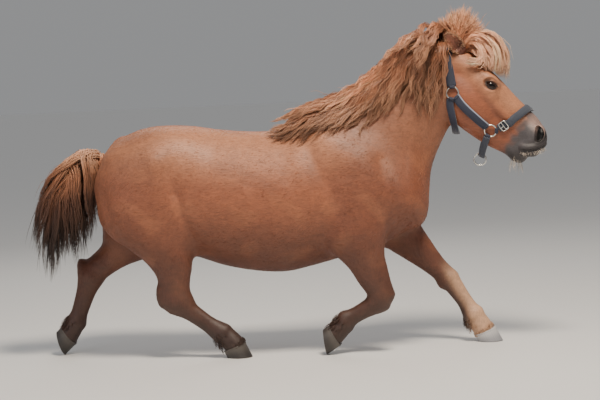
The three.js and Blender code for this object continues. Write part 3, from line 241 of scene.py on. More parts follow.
class Loft:
    """An elliptical section swept along a straight axis, with rounded ends."""

    def __init__(self, at, direction, caps, stations):
        rows = np.array(stations, float)
        self.at, self.axes, self.caps = np.array(at, float), axes_of(direction), caps
        self.start, self.end = rows[0, 0], rows[-1, 0]
        self.places = np.linspace(self.start, self.end, 160)
        self.centre, self.depth, self.width = (
            through(rows[:, [0, column]], self.places) for column in (1, 2, 3)
        )

    def level(self, s, u, v):
        """The shape's field at distances along it, towards its top and sideways."""
        held = np.clip(s, self.start + self.caps[0], self.end - self.caps[1])
        cap = np.where(s < held, self.caps[0], self.caps[1])
        depth = np.interp(held, self.places, self.depth)
        width = np.interp(held, self.places, self.width)
        a = (u - np.interp(held, self.places, self.centre)) / depth
        b = v / width
        e = (s - held) / cap
        size = np.sqrt(a * a + b * b + e * e)
        steep = np.sqrt((a / depth) ** 2 + (b / width) ** 2 + (e / cap) ** 2) + 1e-9
        return np.where(size < 0.05, -np.minimum(depth, width), size * (size - 1) / steep)

    def corners(self, room):
        """The corners of a box round the shape, with room to spare."""
        low, high = (self.centre - self.depth).min(), (self.centre + self.depth).max()
        wide = self.width.max()
        box = [(self.start - room, self.end + room), (low - room, high + room),
               (-wide - room, wide + room)]
        local = np.array([(s, u, v) for s in box[0] for u in box[1] for v in box[2]])
        return self.at + local @ self.axes


def loft(at, direction, caps, stations):
    return Loft(at, direction, caps, stations)


def egg(at, direction, radii):
    """An egg with half sizes along, towards the top and sideways."""
    length, depth, width = radii
    return Loft(at, direction, (length, length), [(-length, 0, depth, width), (length, 0, depth, width)])


flesh = []


def grow(blend, shape):
    flesh.append((shape, blend))


def joined(value, other, blend):
    """The nearer of two fields, with a soft blend where they are about equal."""
    near = np.maximum(blend - np.abs(value - other), 0) / blend
    return np.minimum(value, other) - near * near * blend / 4


# %% [markdown]
# The trunk is one long barrel with a heavy belly, as the breed has. The croup, the shoulder blade,
# the point of the shoulder and the breast muscles are eggs pressed on it. Each station of a long
# shape is its distance along, the offset of its middle, its half depth and its half width.

# %% Trunk
# Trunk: distance along is from the point of the buttock, the centre is a height above the floor.
grow(1, loft([-650, 0, 0], ALONG_BODY, caps=(90, 60), stations=[
    (0, 640, 130, 116), (90, 655, 146, 128), (150, 628, 194, 152), (220, 606, 224, 172),
    (320, 591, 235, 192), (430, 563, 245, 207), (550, 545, 251, 214), (650, 543, 254, 214),
    (740, 556, 250, 204), (840, 570, 240, 184), (940, 573, 224, 164), (1030, 577, 184, 146),
    (1100, 575, 138, 122), (1150, 572, 110, 100),
]))

for side in (RIGHT, LEFT):
    # Croup and hip
    grow(60, egg([-430, side * 95, 690], [1, 0, 0.1], [170, 118, 98]))
    # Blade of the shoulder, its point, and the muscle behind the upper arm
    grow(60, egg([265, side * 118, 640], [0.7, 0, -0.7], [190, 80, 62]))
    grow(50, egg([405, side * 100, 560], [0.5, 0, -0.8], [92, 66, 62]))
    grow(60, egg([255, side * 128, 470], [0.2, 0, -1], [130, 100, 62]))
    # Breast
    grow(45, egg([440, side * 52, 545], [0.35, 0, -1], [110, 62, 66]))
# Dock, the fleshy top of the tail
grow(24, egg([-658, 0, 704], [1, 0, 0.25], [54, 27, 32]))
grow(20, egg([-710, 0, 714], [1, 0, 0], [44, 20, 23]))
grow(18, egg([-754, 0, 688], [0.6, 0, 0.8], [46, 17, 18]))
print("trunk shapes", len(flesh))

# %% [markdown]
# Each leg is three long shapes: thigh or upper arm down to the hock or knee, cannon bone to the
# fetlock, and pastern to the hoof. Small eggs give the point of each hock and the bone behind each
# knee. The right hind and left fore feet carry the pony, and the others are folding.

# %% Legs
# Right hind leg, reaching forward under the belly
grow(55, loft([0, -100, 760], [0, -0.01, -1], caps=(50, 34), stations=[
    (0, -480, 120, 72), (120, -475, 188, 96), (200, -468, 192, 104), (265, -474, 176, 100),
    (319, -466, 146, 90), (356, -446, 120, 80), (394, -419, 92, 68), (436, -402, 73, 55),
    (470, -397, 61, 47), (510, -397, 58, 42), (548, -394, 65, 41), (590, -386, 58, 38),
]))
grow(18, egg([-437, -106, 232], [0.2, 0, -1], [42, 25, 22]))
grow(20, loft([-396, -106, 208], [0.805, 0.04, -0.593], caps=(30, 24), stations=[
    (-20, 0, 52, 38), (25, 0, 45, 35), (60, 0, 36, 29), (110, -1, 32, 26), (150, -2, 32, 26),
    (190, -2, 38, 32), (220, -2, 35, 31),
]))
grow(16, loft([-232, -98, 90], [0.66, 0, -0.75], caps=(24, 10), stations=[
    (-20, 0, 36, 31), (15, 0, 37, 32), (45, 0, 39, 36), (84, 0, 40, 38),
]))

# Left hind leg, pushing off behind
grow(55, loft([0, 100, 760], [0, 0.03, -1], caps=(50, 60), stations=[
    (0, -480, 120, 72), (120, -488, 182, 96), (200, -500, 178, 104), (265, -526, 160, 100),
    (319, -552, 132, 88), (380, -560, 104, 76),
]))
grow(45, loft([-545, 122, 438], [-0.803, -0.05, -0.594], caps=(50, 34), stations=[
    (-20, 0, 96, 80), (50, 0, 84, 70), (110, 0, 64, 56), (160, 0, 54, 47), (205, 0, 51, 42),
    (246, 0, 52, 40), (275, 0, 46, 37),
]))
grow(18, egg([-762, 106, 312], [-0.3, 0, 1], [44, 24, 21]))
grow(20, loft([-736, 106, 290], [-0.345, -0.04, -0.939], caps=(30, 24), stations=[
    (-20, 0, 50, 38), (30, 0, 45, 35), (65, 0, 38, 29), (110, 0, 34, 26), (148, 0, 33, 26),
    (178, 0, 38, 32), (204, 0, 35, 31),
]))
grow(16, loft([-799, 98, 117], [-0.58, 0, -0.81], caps=(24, 10), stations=[
    (-20, 0, 36, 31), (10, 0, 36, 32), (35, 0, 38, 35), (72, 0, 40, 38),
]))

# Right foreleg, folding at the knee
grow(50, loft([238, -122, 445], [0.39, 0.03, -0.92], caps=(60, 34), stations=[
    (-30, 0, 96, 66), (60, 2, 82, 58), (130, 2, 68, 51), (190, 0, 58, 45), (230, 0, 50, 40),
    (268, 0, 46, 38), (300, 0, 42, 36),
]))
grow(14, egg([312, -110, 196], [0.5, 0, 1], [24, 17, 18]))
grow(18, loft([344, -110, 190], [-0.888, 0.05, -0.46], caps=(30, 24), stations=[
    (-20, 0, 44, 37), (30, 0, 40, 34), (60, 0, 34, 28), (90, 0, 31, 25), (122, 0, 31, 25),
    (154, 0, 38, 31), (180, 0, 35, 30),
]))
grow(16, loft([204, -100, 108], [-0.72, 0, -0.69], caps=(24, 10), stations=[
    (-20, 0, 36, 31), (10, 0, 36, 31), (35, 0, 38, 35), (72, 0, 40, 38),
]))

# Left foreleg, reaching out in front
grow(50, loft([365, 122, 445], [0.693, -0.04, -0.72], caps=(60, 34), stations=[
    (-30, 0, 96, 66), (60, 0, 78, 58), (130, 0, 62, 50), (190, 0, 49, 43), (245, 0, 40, 38),
    (292, 0, 39, 37), (325, 0, 36, 34),
]))
grow(14, egg([545, 110, 215], [0.4, 0, -1], [24, 16, 18]))
grow(18, loft([572, 110, 232], [0.54, -0.06, -0.84], caps=(30, 24), stations=[
    (-20, 0, 38, 35), (35, 0, 35, 32), (70, 0, 32, 27), (105, 0, 31, 25), (130, -2, 34, 28),
    (155, -2, 39, 32), (180, -2, 36, 31),
]))
grow(16, loft([656, 100, 100], [0.52, 0, -0.85], caps=(24, 10), stations=[
    (-20, 0, 36, 31), (15, 0, 37, 32), (45, 0, 39, 36), (86, 0, 40, 38),
]))
print("with legs", len(flesh))

# %% [markdown]
# The neck is short and deep, with the windpipe showing at its front edge. The head is a wedge from
# the poll to the lips with a separate lower jaw, a round cheek, a brow over the eye, the ridge of
# the cheekbone below it and the flare of the nostril.

# %% Neck and head
# Neck
grow(60, loft(NECK_ORIGIN, NECK_AXIS, caps=(60, 40), stations=[
    (-60, -40, 235, 150), (50, -45, 255, 152), (150, -52, 245, 140), (260, -41, 209, 120),
    (330, -9, 172, 106), (390, 8, 157, 95), (450, 20, 147, 88), (520, 28, 132, 82), (590, 20, 112, 76),
]))
# Windpipe and the groove beside it
grow(40, egg([512, 0, 705], [0.4, 0, 0.92], [150, 34, 46]))

# Skull from the poll to the lips
grow(40, loft(HEAD_ORIGIN, HEAD_AXIS, caps=(40, 58), stations=[
    (-45, 0, 52, 58), (0, 5, 58, 66), (60, 10, 56, 74), (120, 12, 54, 80), (180, 8, 58, 72),
    (240, 6, 56, 60), (300, 4, 57, 52), (350, 0, 60, 50), (400, -8, 56, 52), (438, -16, 46, 46),
]))
# Lower jaw
grow(34, loft(HEAD_ORIGIN, HEAD_AXIS, caps=(60, 40), stations=[
    (70, -82, 62, 56), (150, -90, 66, 62), (220, -92, 58, 56), (290, -88, 48, 48), (340, -78, 42, 42),
    (385, -70, 36, 40), (420, -66, 30, 34),
]))
for side in (RIGHT, LEFT):
    # Round cheek
    grow(30, egg(in_head(142, -72, side * 50), HEAD_AXIS, [92, 82, 36]))
    # Brow over the eye, and the bone behind it
    grow(22, egg(in_head(138, 40, side * 62), [0.8, 0, -0.6], [40, 20, 26]))
    grow(22, egg(in_head(150, 6, side * 66), HEAD_AXIS, [42, 26, 20]))
    # Flat of the cheek between the jaw and the nose
    grow(24, egg(in_head(262, -48, side * 30), HEAD_AXIS, [86, 44, 22]))
    # Ridge below the eye
    grow(20, egg(in_head(232, -14, side * 58), [0.63, -side * 0.2, -0.75], [62, 12, 12]))
    # Flare of the nostril, and the side of the upper lip
    grow(22, egg(in_head(392, 8, side * 34), [0.75, 0, -0.66], [42, 34, 24]))
    grow(20, egg(in_head(408, -34, side * 26), HEAD_AXIS, [36, 30, 28]))

# Chin
grow(20, egg(in_head(392, -84, 0), HEAD_AXIS, [34, 26, 32]))
print("with neck and head", len(flesh))

# %% [markdown]
# To become a mesh, the field is worked out on a grid of cells and its zero level is drawn with
# OpenVDB, which comes with Blender. Every shape is worked out only near itself, which keeps a grid
# of ten million cells quick. The head gets cells of 2.1 mm for its lids and lips, and the body 4.8.

# %% The field on a grid
BODY_CELL, HEAD_CELL = 4.8, 2.1
ROOM = 70.0


class Grid:
    """The field on cells of a box, which may be turned."""

    def __init__(self, low, high, cell, origin=(0, 0, 0), axes=np.eye(3)):
        self.low, self.cell = np.array(low, float), cell
        self.origin, self.axes = np.array(origin, float), np.array(axes, float)
        self.counts = np.ceil((np.array(high, float) - self.low) / cell).astype(int) + 1
        self.values = np.full(self.counts, FAR, np.float32)

    def lines(self, shape, window):
        """A shape's own distances for the cells of a window, as three arrays that broadcast."""
        turned = shape.axes @ self.axes.T
        start = shape.axes @ (self.origin - shape.at)
        steps = [self.low[k] + self.cell * np.arange(window[k].start, window[k].stop) for k in range(3)]
        x, y, z = (steps[k].reshape([-1 if k == axis else 1 for axis in range(3)]) for k in range(3))
        return [
            (start[k] + turned[k, 0] * x + turned[k, 1] * y + turned[k, 2] * z).astype(np.float32)
            for k in range(3)
        ]

    def window(self, shape, room):
        """The cells that a shape can reach."""
        local = (shape.corners(room) - self.origin) @ self.axes.T
        first = np.clip(np.floor((local.min(0) - self.low) / self.cell), 0, self.counts).astype(int)
        last = np.clip(np.ceil((local.max(0) - self.low) / self.cell) + 1, 0, self.counts).astype(int)
        return tuple(slice(a, b) for a, b in zip(first, last))

    def add(self, shape, blend):
        """Presses a shape on what is there."""
        part = self.window(shape, ROOM)
        if all(piece.stop > piece.start for piece in part):
            level = shape.level(*self.lines(shape, part))
            self.values[part] = joined(self.values[part], level, blend)

    def cut(self, shape, blend):
        """Takes a shape out, with a soft edge."""
        part = self.window(shape, blend + 2 * self.cell)
        if all(piece.stop > piece.start for piece in part):
            level = shape.level(*self.lines(shape, part))
            self.values[part] = -joined(-self.values[part], level, blend)

    def local(self, points):
        return ((points - self.origin) @ self.axes.T - self.low) / self.cell

    def read(self, points):
        """The field at points, drawn from the eight cells round each."""
        at = np.clip(self.local(points), 0, self.counts - 1.001)
        first = at.astype(int)
        share = at - first
        total = np.zeros(len(points))
        for corner in range(8):
            step = np.array([corner & 1, corner >> 1 & 1, corner >> 2])
            weight = np.prod(np.where(step, share, 1 - share), axis=1)
            total += weight * self.values[tuple((first + step).T)]
        return total

    def slope(self, points):
        """The direction in which the field rises, worked out from points a cell apart."""
        rise = [
            self.read(points + self.cell * axis) - self.read(points - self.cell * axis)
            for axis in np.eye(3)
        ]
        return np.stack(rise, axis=1) / (2 * self.cell)

    def mesh(self, level):
        """The surface at a level: points in the drawing, and faces that look outwards."""
        box = openvdb.FloatGrid()
        band = 4 * self.cell
        box.copyFromArray(np.clip(self.values - level, -band, band).astype(np.float32))
        points, faces = box.convertToQuads(0.0)
        points = self.origin + (self.low + points * self.cell) @ self.axes
        return points, faces


body = Grid((-960, -270, -10), (900, 270, 1180), BODY_CELL)
for shape, blend in flesh:
    body.add(shape, blend)
print("body grid", body.counts, "cells inside", int((body.values < 0).sum()))

# %% [markdown]
# The head is worked out again on finer cells, and its details are pressed and cut there. Lids are
# a round shell over the eyeball with an almond opening. The nostril is a comma with a raised rim,
# and the mouth is a groove between two soft lips.

# %% The head's own grid
HEAD_BOX = ((-150, -150, -215), (470, 150, 118))
head = Grid(*HEAD_BOX, HEAD_CELL, HEAD_ORIGIN, HEAD_AXES[[0, 2, 1]])
for shape, blend in flesh:
    head.add(shape, blend)
print("head grid", head.counts)


def on_head(along, top, side, deep=0.0):
    """A place on the head's skin, found by going out sideways, and moved in by a depth."""
    outs = np.linspace(2, 110, 109)
    levels = head.read(np.array([in_head(along, top, side * out) for out in outs]))
    inside = np.nonzero(levels < 0)[0]
    return in_head(along, top, side * (outs[inside[-1]] if len(inside) else 0.0) - side * deep)


def chain(places, count):
    """Evenly numbered places on a smooth line through the given ones."""
    places = np.array(places, float)
    steps = np.arange(len(places))
    wanted = np.linspace(0, len(places) - 1, count)
    return np.stack([through(np.c_[steps, places[:, k]], wanted) for k in range(places.shape[1])], axis=1)


# %% Lids
LID_SHELL = 30.0
LID_FLOOR = 23.6
OPENING = {"half": 27.0, "high": 11.0, "low": 7.5, "lean": 0.2}
FORWARD = unit(HEAD_AXES[0] + 0.55 * HEAD_AXES[1])
UPWARD = unit(HEAD_AXES[1] - 0.55 * HEAD_AXES[0])


def eye_at(side):
    return in_head(EYE_PLACE[0], EYE_PLACE[1], side * EYE_PLACE[2])


def eye_axes(side):
    """Forward along the lids, up across them, and out of the eye."""
    out = unit(np.array([0, side, 0]) + 0.22 * UPWARD + 0.2 * FORWARD)
    ahead = unit(FORWARD - out * (FORWARD @ out))
    return np.array([ahead, unit(UPWARD - out * (UPWARD @ out) - ahead * (UPWARD @ ahead)), out])


class LidOpening:
    """An almond seen from the eye's centre, down to a bowl behind the eyeball's front."""

    def __init__(self, side):
        self.at, self.axes = eye_at(side), eye_axes(side)

    def corners(self, room):
        reach = LID_SHELL + 16 + room
        return self.at + np.array([(x, y, z) for x in (-reach, reach) for y in (-reach, reach)
                                   for z in (-reach, reach)])

    def level(self, s, u, v):
        depth = np.maximum(v, 1.0)
        across = s / depth * EYE_RADIUS
        rise = u / depth * EYE_RADIUS + OPENING["lean"] * across
        edge = np.where(rise > 0, OPENING["high"], OPENING["low"])
        almond = ((across / OPENING["half"]) ** 2 + np.abs(rise) / edge - 1) * OPENING["low"] * 0.8
        radius = np.sqrt(s * s + u * u + v * v)
        return np.maximum(np.maximum(almond, LID_FLOOR - radius), 2 - v)


for side in (RIGHT, LEFT):
    head.add(egg(eye_at(side), HEAD_AXIS, (LID_SHELL,) * 3), 7)
    ahead, upward, out = eye_axes(side)
    # The fold above the upper lid and the softer one below
    for turn, radius, size in [(a, 36, 3.4) for a in np.radians(np.linspace(20, 160, 18))] + [
        (a, 35, 2.0) for a in np.radians(np.linspace(-150, -30, 13))
    ]:
        ray = unit(out * EYE_RADIUS * 0.9 + ahead * math.cos(turn) * 26 + upward * math.sin(turn) * 15)
        fold_at = eye_at(side) + ray * radius
        for _ in range(8):
            fold_at = fold_at - ray * head.read(fold_at[None])[0]
        head.cut(egg(fold_at, ahead, (4.5, size, size)), 5)
    head.cut(LidOpening(side), 1.6)
print("lids cut")

# %% Nostrils, mouth and lips
NOSTRIL = [(376, 36), (384, 33), (393, 24), (401, 12), (405, 0)]
NOSTRIL_SIZE = [5, 10, 14, 12, 6]
NOSTRIL_STEPS = 15
MOUTH = [(392, -60), (407, -48), (421, -30), (431, -10), (436, 6)]
LOWER_LIP_END = 424
LIP_BLEND = 12
nostril_rim = chain(NOSTRIL, NOSTRIL_STEPS)
nostril_sizes = through(np.c_[np.arange(5), NOSTRIL_SIZE], np.linspace(0, 4, NOSTRIL_STEPS))
nostril_places = {side: [on_head(*place, side, 4) for place in nostril_rim] for side in (RIGHT, LEFT)}
mouth_places = {side: [on_head(*place, side, 0.5) for place in chain(MOUTH, 40)] for side in (RIGHT, LEFT)}
for side in (RIGHT, LEFT):
    for at, size in zip(nostril_places[side], nostril_sizes):
        head.add(egg(at, HEAD_AXIS, (size + 5, size + 4.5, 7.5)), 6)
    for at, size in zip(nostril_places[side], nostril_sizes):
        head.cut(egg(at, (0.5, -side * 0.85, -0.1), (20, size * 0.72, size * 0.86)), 3)
    # All places are found before the first pad is added, as a pad would push the next one out
    upper_lip = [on_head(along - 8, top + 6, side, 7) for along, top in chain(MOUTH, 22)[:-1]]
    lower_lip = [on_head(along + 2, top - 9, side, 9) for along, top in chain(MOUTH, 22)[:-1]
                 if along < LOWER_LIP_END]
    for at in upper_lip:
        head.add(egg(at, HEAD_AXIS, (10, 9, 7.5)), LIP_BLEND)
    for at in lower_lip:
        head.add(egg(at, HEAD_AXIS, (9, 9, 7.5)), LIP_BLEND)
for side in (RIGHT, LEFT):
    mouth_places[side] = [on_head(*place, side, 0.5) for place in chain(MOUTH, 40)]
    for at in mouth_places[side]:
        head.cut(egg(at, HEAD_AXIS, (2.6, 1.1, 3.6)), 2.2)
for out in np.linspace(-30, 30, 31):
    front = in_head(446 - out * out / 75, 11, out)
    for _ in range(6):
        front = front - HEAD_AXES[0] * head.read(front[None])[0]
    mouth_places[RIGHT].append(front)
    head.cut(egg(front, HEAD_AXIS, (3.6, 1.1, 2.6)), 2.2)
print("nostrils and mouth cut")

# %% [markdown]
# Muscles and bones show through a short coat as soft ridges and furrows: the hook of the hip, the
# fold of the flank, the edge of the shoulder blade, the groove in front of the shoulder and the one
# down the back of the thigh. Each is a line seen from the side, along which the skin rises or sinks
# by a few millimetres.

# %% Muscles: lines of (distance along, height), the width of the form and its rise
MUSCLE_STEPS, MUSCLE_EDGE = 24, (40, 90)
MUSCLES = [
    ([(-446, 706), (-424, 712), (-404, 704)], 24, 6.0),
    ([(-430, 680), (-436, 630), (-444, 580)], 26, 3.5),
    ([(-392, 700), (-382, 650), (-368, 600)], 24, -5.0),
    ([(-360, 590), (-346, 520), (-322, 440)], 17, -6.0),
    ([(-318, 560), (-300, 500), (-280, 450)], 30, 3.0),
    ([(-626, 600), (-600, 500), (-556, 400)], 18, -4.0),
    ([(-520, 560), (-500, 480), (-462, 400)], 44, 5.0),
    ([(112, 730), (140, 660), (168, 590), (194, 500)], 22, -4.5),
    ([(60, 700), (90, 620), (120, 540)], 34, 3.0),
    ([(226, 590), (250, 520), (262, 450)], 36, 5.0),
    ([(355, 680), (380, 590), (398, 510)], 20, -4.5),
    ([(300, 700), (318, 620), (330, 560)], 26, 3.0),
    ([(20, 600), (44, 520), (52, 440)], 18, 1.6),
    ([(-50, 600), (-26, 520), (-18, 440)], 18, 1.6),
    ([(-120, 600), (-96, 520), (-88, 440)], 18, 1.4),
]


def muscles(points):
    """How far the skin rises or sinks at places on the trunk."""
    total = np.zeros(len(points))
    for line, width, rise in MUSCLES:
        nearest = np.full(len(points), 999.0)
        for x, z in chain(line, MUSCLE_STEPS):
            nearest = np.minimum(nearest, np.hypot(points[:, 0] - x, points[:, 2] - z))
        total += rise * np.exp(-((nearest / width) ** 2))
    return total * smooth(*MUSCLE_EDGE, np.abs(points[:, 1]))


# %% [markdown]
# One skin is made of both grids. They meet on a slanted plane behind the cheek, where both hold
# the same field, so the fine head runs into the coarser neck without a seam. The skin lies a coat's
# depth inside the CAD flesh, and the tufts of the coat fill the rest.

# %% One skin
COAT_DEPTH = 2.0
JOIN_AT, JOIN_ALONG = np.array([600.0, 0, 930]), unit((0.99, 0, 0.135))
JOIN_LAP = 5.0


def keep_side(points, faces, ahead):
    """The faces on one side of the join, with a little lap, and the points they use."""
    place = (points - JOIN_AT) @ JOIN_ALONG
    inside = place > -JOIN_LAP if ahead else place < JOIN_LAP
    kept = faces[inside[faces].all(axis=1)]
    used, numbers = np.unique(kept, return_inverse=True)
    return points[used], numbers.reshape(kept.shape)


def point_normals(points, faces):
    """The normal at each point, from the faces round it."""
    corner = points[faces]
    normal = np.cross(corner[:, 2] - corner[:, 0], corner[:, 3] - corner[:, 1])
    total = np.zeros_like(points)
    for k in range(4):
        np.add.at(total, faces[:, k], normal)
    return unit(total)


def eased(points, faces, rounds):
    """Evens out the small steps of the cells, moving each point towards its neighbours."""
    pairs = np.concatenate([faces[:, [k, (k + 1) % 4]] for k in range(4)])
    count = np.bincount(pairs[:, 0], minlength=len(points))[:, None]
    for _ in range(rounds):
        for share in (0.5, -0.52):
            total = np.stack(
                [np.bincount(pairs[:, 0], points[pairs[:, 1], k], len(points)) for k in range(3)], axis=1
            )
            points = points + share * (total / np.maximum(count, 1) - points)
    return points


body_points, body_faces = body.mesh(-COAT_DEPTH)
body_points, body_faces = keep_side(eased(body_points, body_faces, 4), body_faces, ahead=False)
body_points = body_points + point_normals(body_points, body_faces) * muscles(body_points)[:, None]
head_points, head_faces = head.mesh(-COAT_DEPTH)
head_points, head_faces = keep_side(eased(head_points, head_faces, 2), head_faces, ahead=True)
skin_points = np.concatenate([body_points, head_points])
skin_faces = np.concatenate([body_faces, head_faces + len(body_points)])
skin_normals = np.concatenate(
    [point_normals(body_points, body_faces), point_normals(head_points, head_faces)]
)
print("skin", len(skin_points), "points", len(skin_faces), "faces")
# %% [markdown]
# A chestnut coat isn't one colour. The back is painted lighter and sandy, a painted top light, the
# belly is painted darker as painted shade, and the lower legs are darker, partly their own colour and
# partly painted shade. The muzzle is dark grey with a painted highlight on its pinkish top, and the
# skin round the eyes is nearly black. One function of the place gives these markings and the painted
# light and shade, so that the skin and every tuft on it agree.

# %% Markings
COAT = {name: linear(value) for name, value in {
    "chestnut": "#915538", "painted_top_light": "#b47c5a", "belly": "#683823", "brown": "#452a1e",
    "dark": "#291b16", "sandy": "#c49a7a", "muzzle": "#474244", "lip": "#2b2627",
    "nose": "#94796f", "lid": "#17110f", "cheek": "#87492f", "light": "#a86a47",
}.items()}


def mix(first, second, share):
    """Colours between two, for a share at each place."""
    return first + (second - first) * np.asarray(share)[..., None]


def ripple(points, size, turn):
    """A slow irregular pattern of about the given size, from -1 to 1."""
    x, y, z = (points * (2 * math.pi / size)).T
    first = np.sin(x + turn + 1.7 * np.sin(z * 0.7 + y))
    return (first + np.sin(z * 1.1 - turn + 1.3 * np.sin(y + x * 0.6))) / 2


def coat_colour(points):
    """The coat's colour at places in the drawing."""
    x, y, z = points.T
    head_place = (points - HEAD_ORIGIN) @ HEAD_AXES.T
    along, top = head_place[:, 0], head_place[:, 1]
    on_the_head = smooth(560, 640, x) * smooth(600, 640, z)
    # Darker towards the belly: painted shade under the barrel
    colour = mix(COAT["belly"], COAT["chestnut"], smooth(340, 580, z))
    # Lighter along the top of the back and neck: painted top light, as from a lamp above
    colour = mix(colour, COAT["painted_top_light"], 0.75 * smooth(580, 800, z) * (1 - on_the_head))
    # Shoulder, croup and the neck under the mane are painted darker than the barrel: painted shade, as in the
    # shadow under the mane
    shoulder_and_neck_shade = smooth(140, 260, x) * (1 - smooth(560, 640, x)) * (1 - on_the_head)
    croup_shade = 1 - smooth(-480, -330, x)
    colour = mix(colour, COAT["belly"], 0.62 * shoulder_and_neck_shade + 0.34 * croup_shade)
    colour = mix(colour, COAT["light"], 0.22 * smooth(0.1, 0.9, ripple(points, 170, 1.0)))
    colour = mix(colour, COAT["belly"], 0.22 * smooth(0.1, 0.9, ripple(points, 240, 4.0)))
    along_spine = (1 - smooth(12, 50, np.abs(y))) * smooth(690, 740, z) * (1 - smooth(60, 200, x))
    colour = mix(colour, COAT["chestnut"], 0.8 * along_spine)
    # Legs grow darker towards the hoof, partly their own darker colour and partly painted shade; the front of
    # the left fore is pale, partly pale hair and partly painted sunlight
    leg_dark_and_shade = 1 - smooth(150, 470, z + 22 * ripple(points, 90, 2.0))
    # The pale front and pastern of the left fore are partly pale hair and partly painted sunlight
    pale_and_sunlit_front = smooth(520, 600, x) * smooth(0, 60, y) * (1 - smooth(230, 330, z))
    pale_and_sunlit_front = pale_and_sunlit_front * smooth(-20, 26, (x - 572) * 0.84 + (z - 232) * 0.54 + 6)
    colour = mix(colour, COAT["brown"], 0.86 * leg_dark_and_shade)
    # Darkest near the hoof: partly the leg's own colour, partly painted shade
    colour = mix(colour, COAT["dark"], 0.75 * (1 - smooth(60, 210, z)))
    colour = mix(colour, COAT["sandy"], 0.85 * pale_and_sunlit_front)
    pale_and_sunlit_pastern = smooth(620, 660, x) * (1 - smooth(110, 170, z)) * smooth(0, 50, y)
    colour = mix(colour, COAT["sandy"], 0.8 * pale_and_sunlit_pastern)
    # Under the tail's hair
    colour = mix(colour, COAT["cheek"], (1 - smooth(-684, -664, x)) * smooth(560, 600, z))
    # Head: warm cheek, painted top light on the top of the head, grey muzzle, a painted highlight on the
    # pinkish top of the nose, dark skin at lips and eyes
    colour = mix(colour, COAT["cheek"], on_the_head * 0.6 * (1 - smooth(-60, 20, top)))
    # The top of the head is lighter too: painted top light
    colour = mix(colour, COAT["painted_top_light"], on_the_head * 0.7 * smooth(-40, 30, top))
    grey = on_the_head * smooth(300, 345, along + 0.2 * top + 8 * ripple(points, 40, 0.5))
    colour = mix(colour, COAT["muzzle"], grey)
    # The lighter pinkish top of the nose is a painted highlight on the muzzle's top
    pink = on_the_head * smooth(315, 345, along) * (1 - smooth(395, 430, along)) * smooth(6, 34, top)
    colour = mix(colour, COAT["nose"], 0.85 * pink)
    colour = mix(colour, COAT["lip"], 0.8 * on_the_head * smooth(372, 412, along - 0.35 * (top + 20)))
    for side in (RIGHT, LEFT):
        away = points - eye_at(side)
        far = np.hypot((away @ eye_axes(side)[0] + 2) / 1.8, away @ eye_axes(side)[1] - 2)
        near = np.abs(away @ eye_axes(side)[2]) < 40
        colour = mix(colour, COAT["brown"], 0.75 * near * (1 - smooth(12, 19, far)))
        colour = mix(colour, COAT["lid"], 0.95 * near * (1 - smooth(10, 14, far)))
    return colour


def paint_shade_in_openings(points, colour):
    """Blackens the inside of the nostrils and the line of the mouth: painted shade in these hollows."""
    far = np.full(len(points), 99.0)
    near = (points[:, 0] > 780) & (points[:, 2] > 600)
    for side in (RIGHT, LEFT):
        inward = unit([0.5, -side * 0.85, -0.1])
        for at, size in zip(nostril_places[side], nostril_sizes):
            for deeper, room in ((2, 0.72), (9, 0.95), (17, 1.1)):
                away = np.linalg.norm(points[near] - at - inward * deeper, axis=1) - size * room
                far[near] = np.minimum(far[near], away)
        for at in mouth_places[side]:
            far[near] = np.minimum(far[near], np.linalg.norm(points[near] - at, axis=1) - 1.0)
    return mix(colour, linear("#0b0808"), 1 - smooth(0.3, 2.6, far))


print("coat colours", len(COAT))

# %% [markdown]
# Short summer hair lies flat. On the real animal each hair is finer than this picture can show, so
# the skin's material draws it as long thin grains that run along the lie of the coat, and lifts
# them a little with bump. Grains run backwards on the trunk and downwards on the legs. Two noises
# are stretched for that, and an attribute tells which one holds.

# %% Coat on the skin
HAIR_GRAIN = 2.4
LOCK_GRAIN = 11.0
GRAIN_LONG = 9.0


def streaks(made, stretch, size):
    """Noise drawn out along the lie of the coat. The stretch gives the length along each axis."""
    place = node(made, "ShaderNodeTexCoord")
    scaled = node(made, "ShaderNodeMapping", Vector=place.outputs["Object"],
                  Scale=tuple(1 / s for s in stretch))
    return node(made, "ShaderNodeTexNoise", Vector=scaled.outputs[0], Scale=1 / (size * MM), Detail=3.0,
                Roughness=0.65, Distortion=0.4)


def hair_material(name, roughness, depth, contrast):
    """Short glossy hair: long fine grains in colour and bump, over the colour each point carries."""
    made = material(name)
    paint = node(made, "ShaderNodeAttribute", {"attribute_name": "coat_colour"})
    down = node(made, "ShaderNodeAttribute", {"attribute_name": "lie_down"})
    back_grain = streaks(made, (GRAIN_LONG, 1.2, 1.6), HAIR_GRAIN)
    down_grain = streaks(made, (1.2, 1.2, GRAIN_LONG), HAIR_GRAIN)
    fine = node(made, "ShaderNodeMix", Factor=down.outputs["Fac"], A=back_grain.outputs["Fac"],
                B=down_grain.outputs["Fac"])
    locks = streaks(made, (3.2, 1.2, 1.4), LOCK_GRAIN)
    grain = node(made, "ShaderNodeMix", Factor=0.45, A=fine.outputs[0], B=locks.outputs["Fac"])
    shade = node(made, "ShaderNodeMapRange", Value=grain.outputs[0], From_Min=0.25, From_Max=0.75,
                 To_Min=1 - contrast, To_Max=1 + contrast)
    colour = node(made, "ShaderNodeVectorMath", {"operation": "MULTIPLY"}, i0=paint.outputs["Color"],
                  i1=shade.outputs[0])
    bump = node(made, "ShaderNodeBump", Strength=0.6, Distance=depth * MM, Height=grain.outputs[0])
    shader = node(made, "ShaderNodeBsdfPrincipled", Base_Color=colour.outputs[0], Roughness=roughness,
                  IOR=1.55, Normal=bump.outputs[0], Sheen_Weight=0.03, Sheen_Roughness=0.35)
    shader.inputs["Sheen Tint"].default_value = (*linear("#e8b48a"), 1)
    return finish_surface(made, shader)


short_coat = hair_material("short chestnut coat, groomed flat", 0.54, 2.2, 0.42)
print("material", short_coat.name)

# %% [markdown]
# Every piece is made in the same few steps: points, faces, a colour for each point and a finish.
# It is then fixed to the pony's one body, and says which solids it stands for.

# %% Meshes that ride on the pony


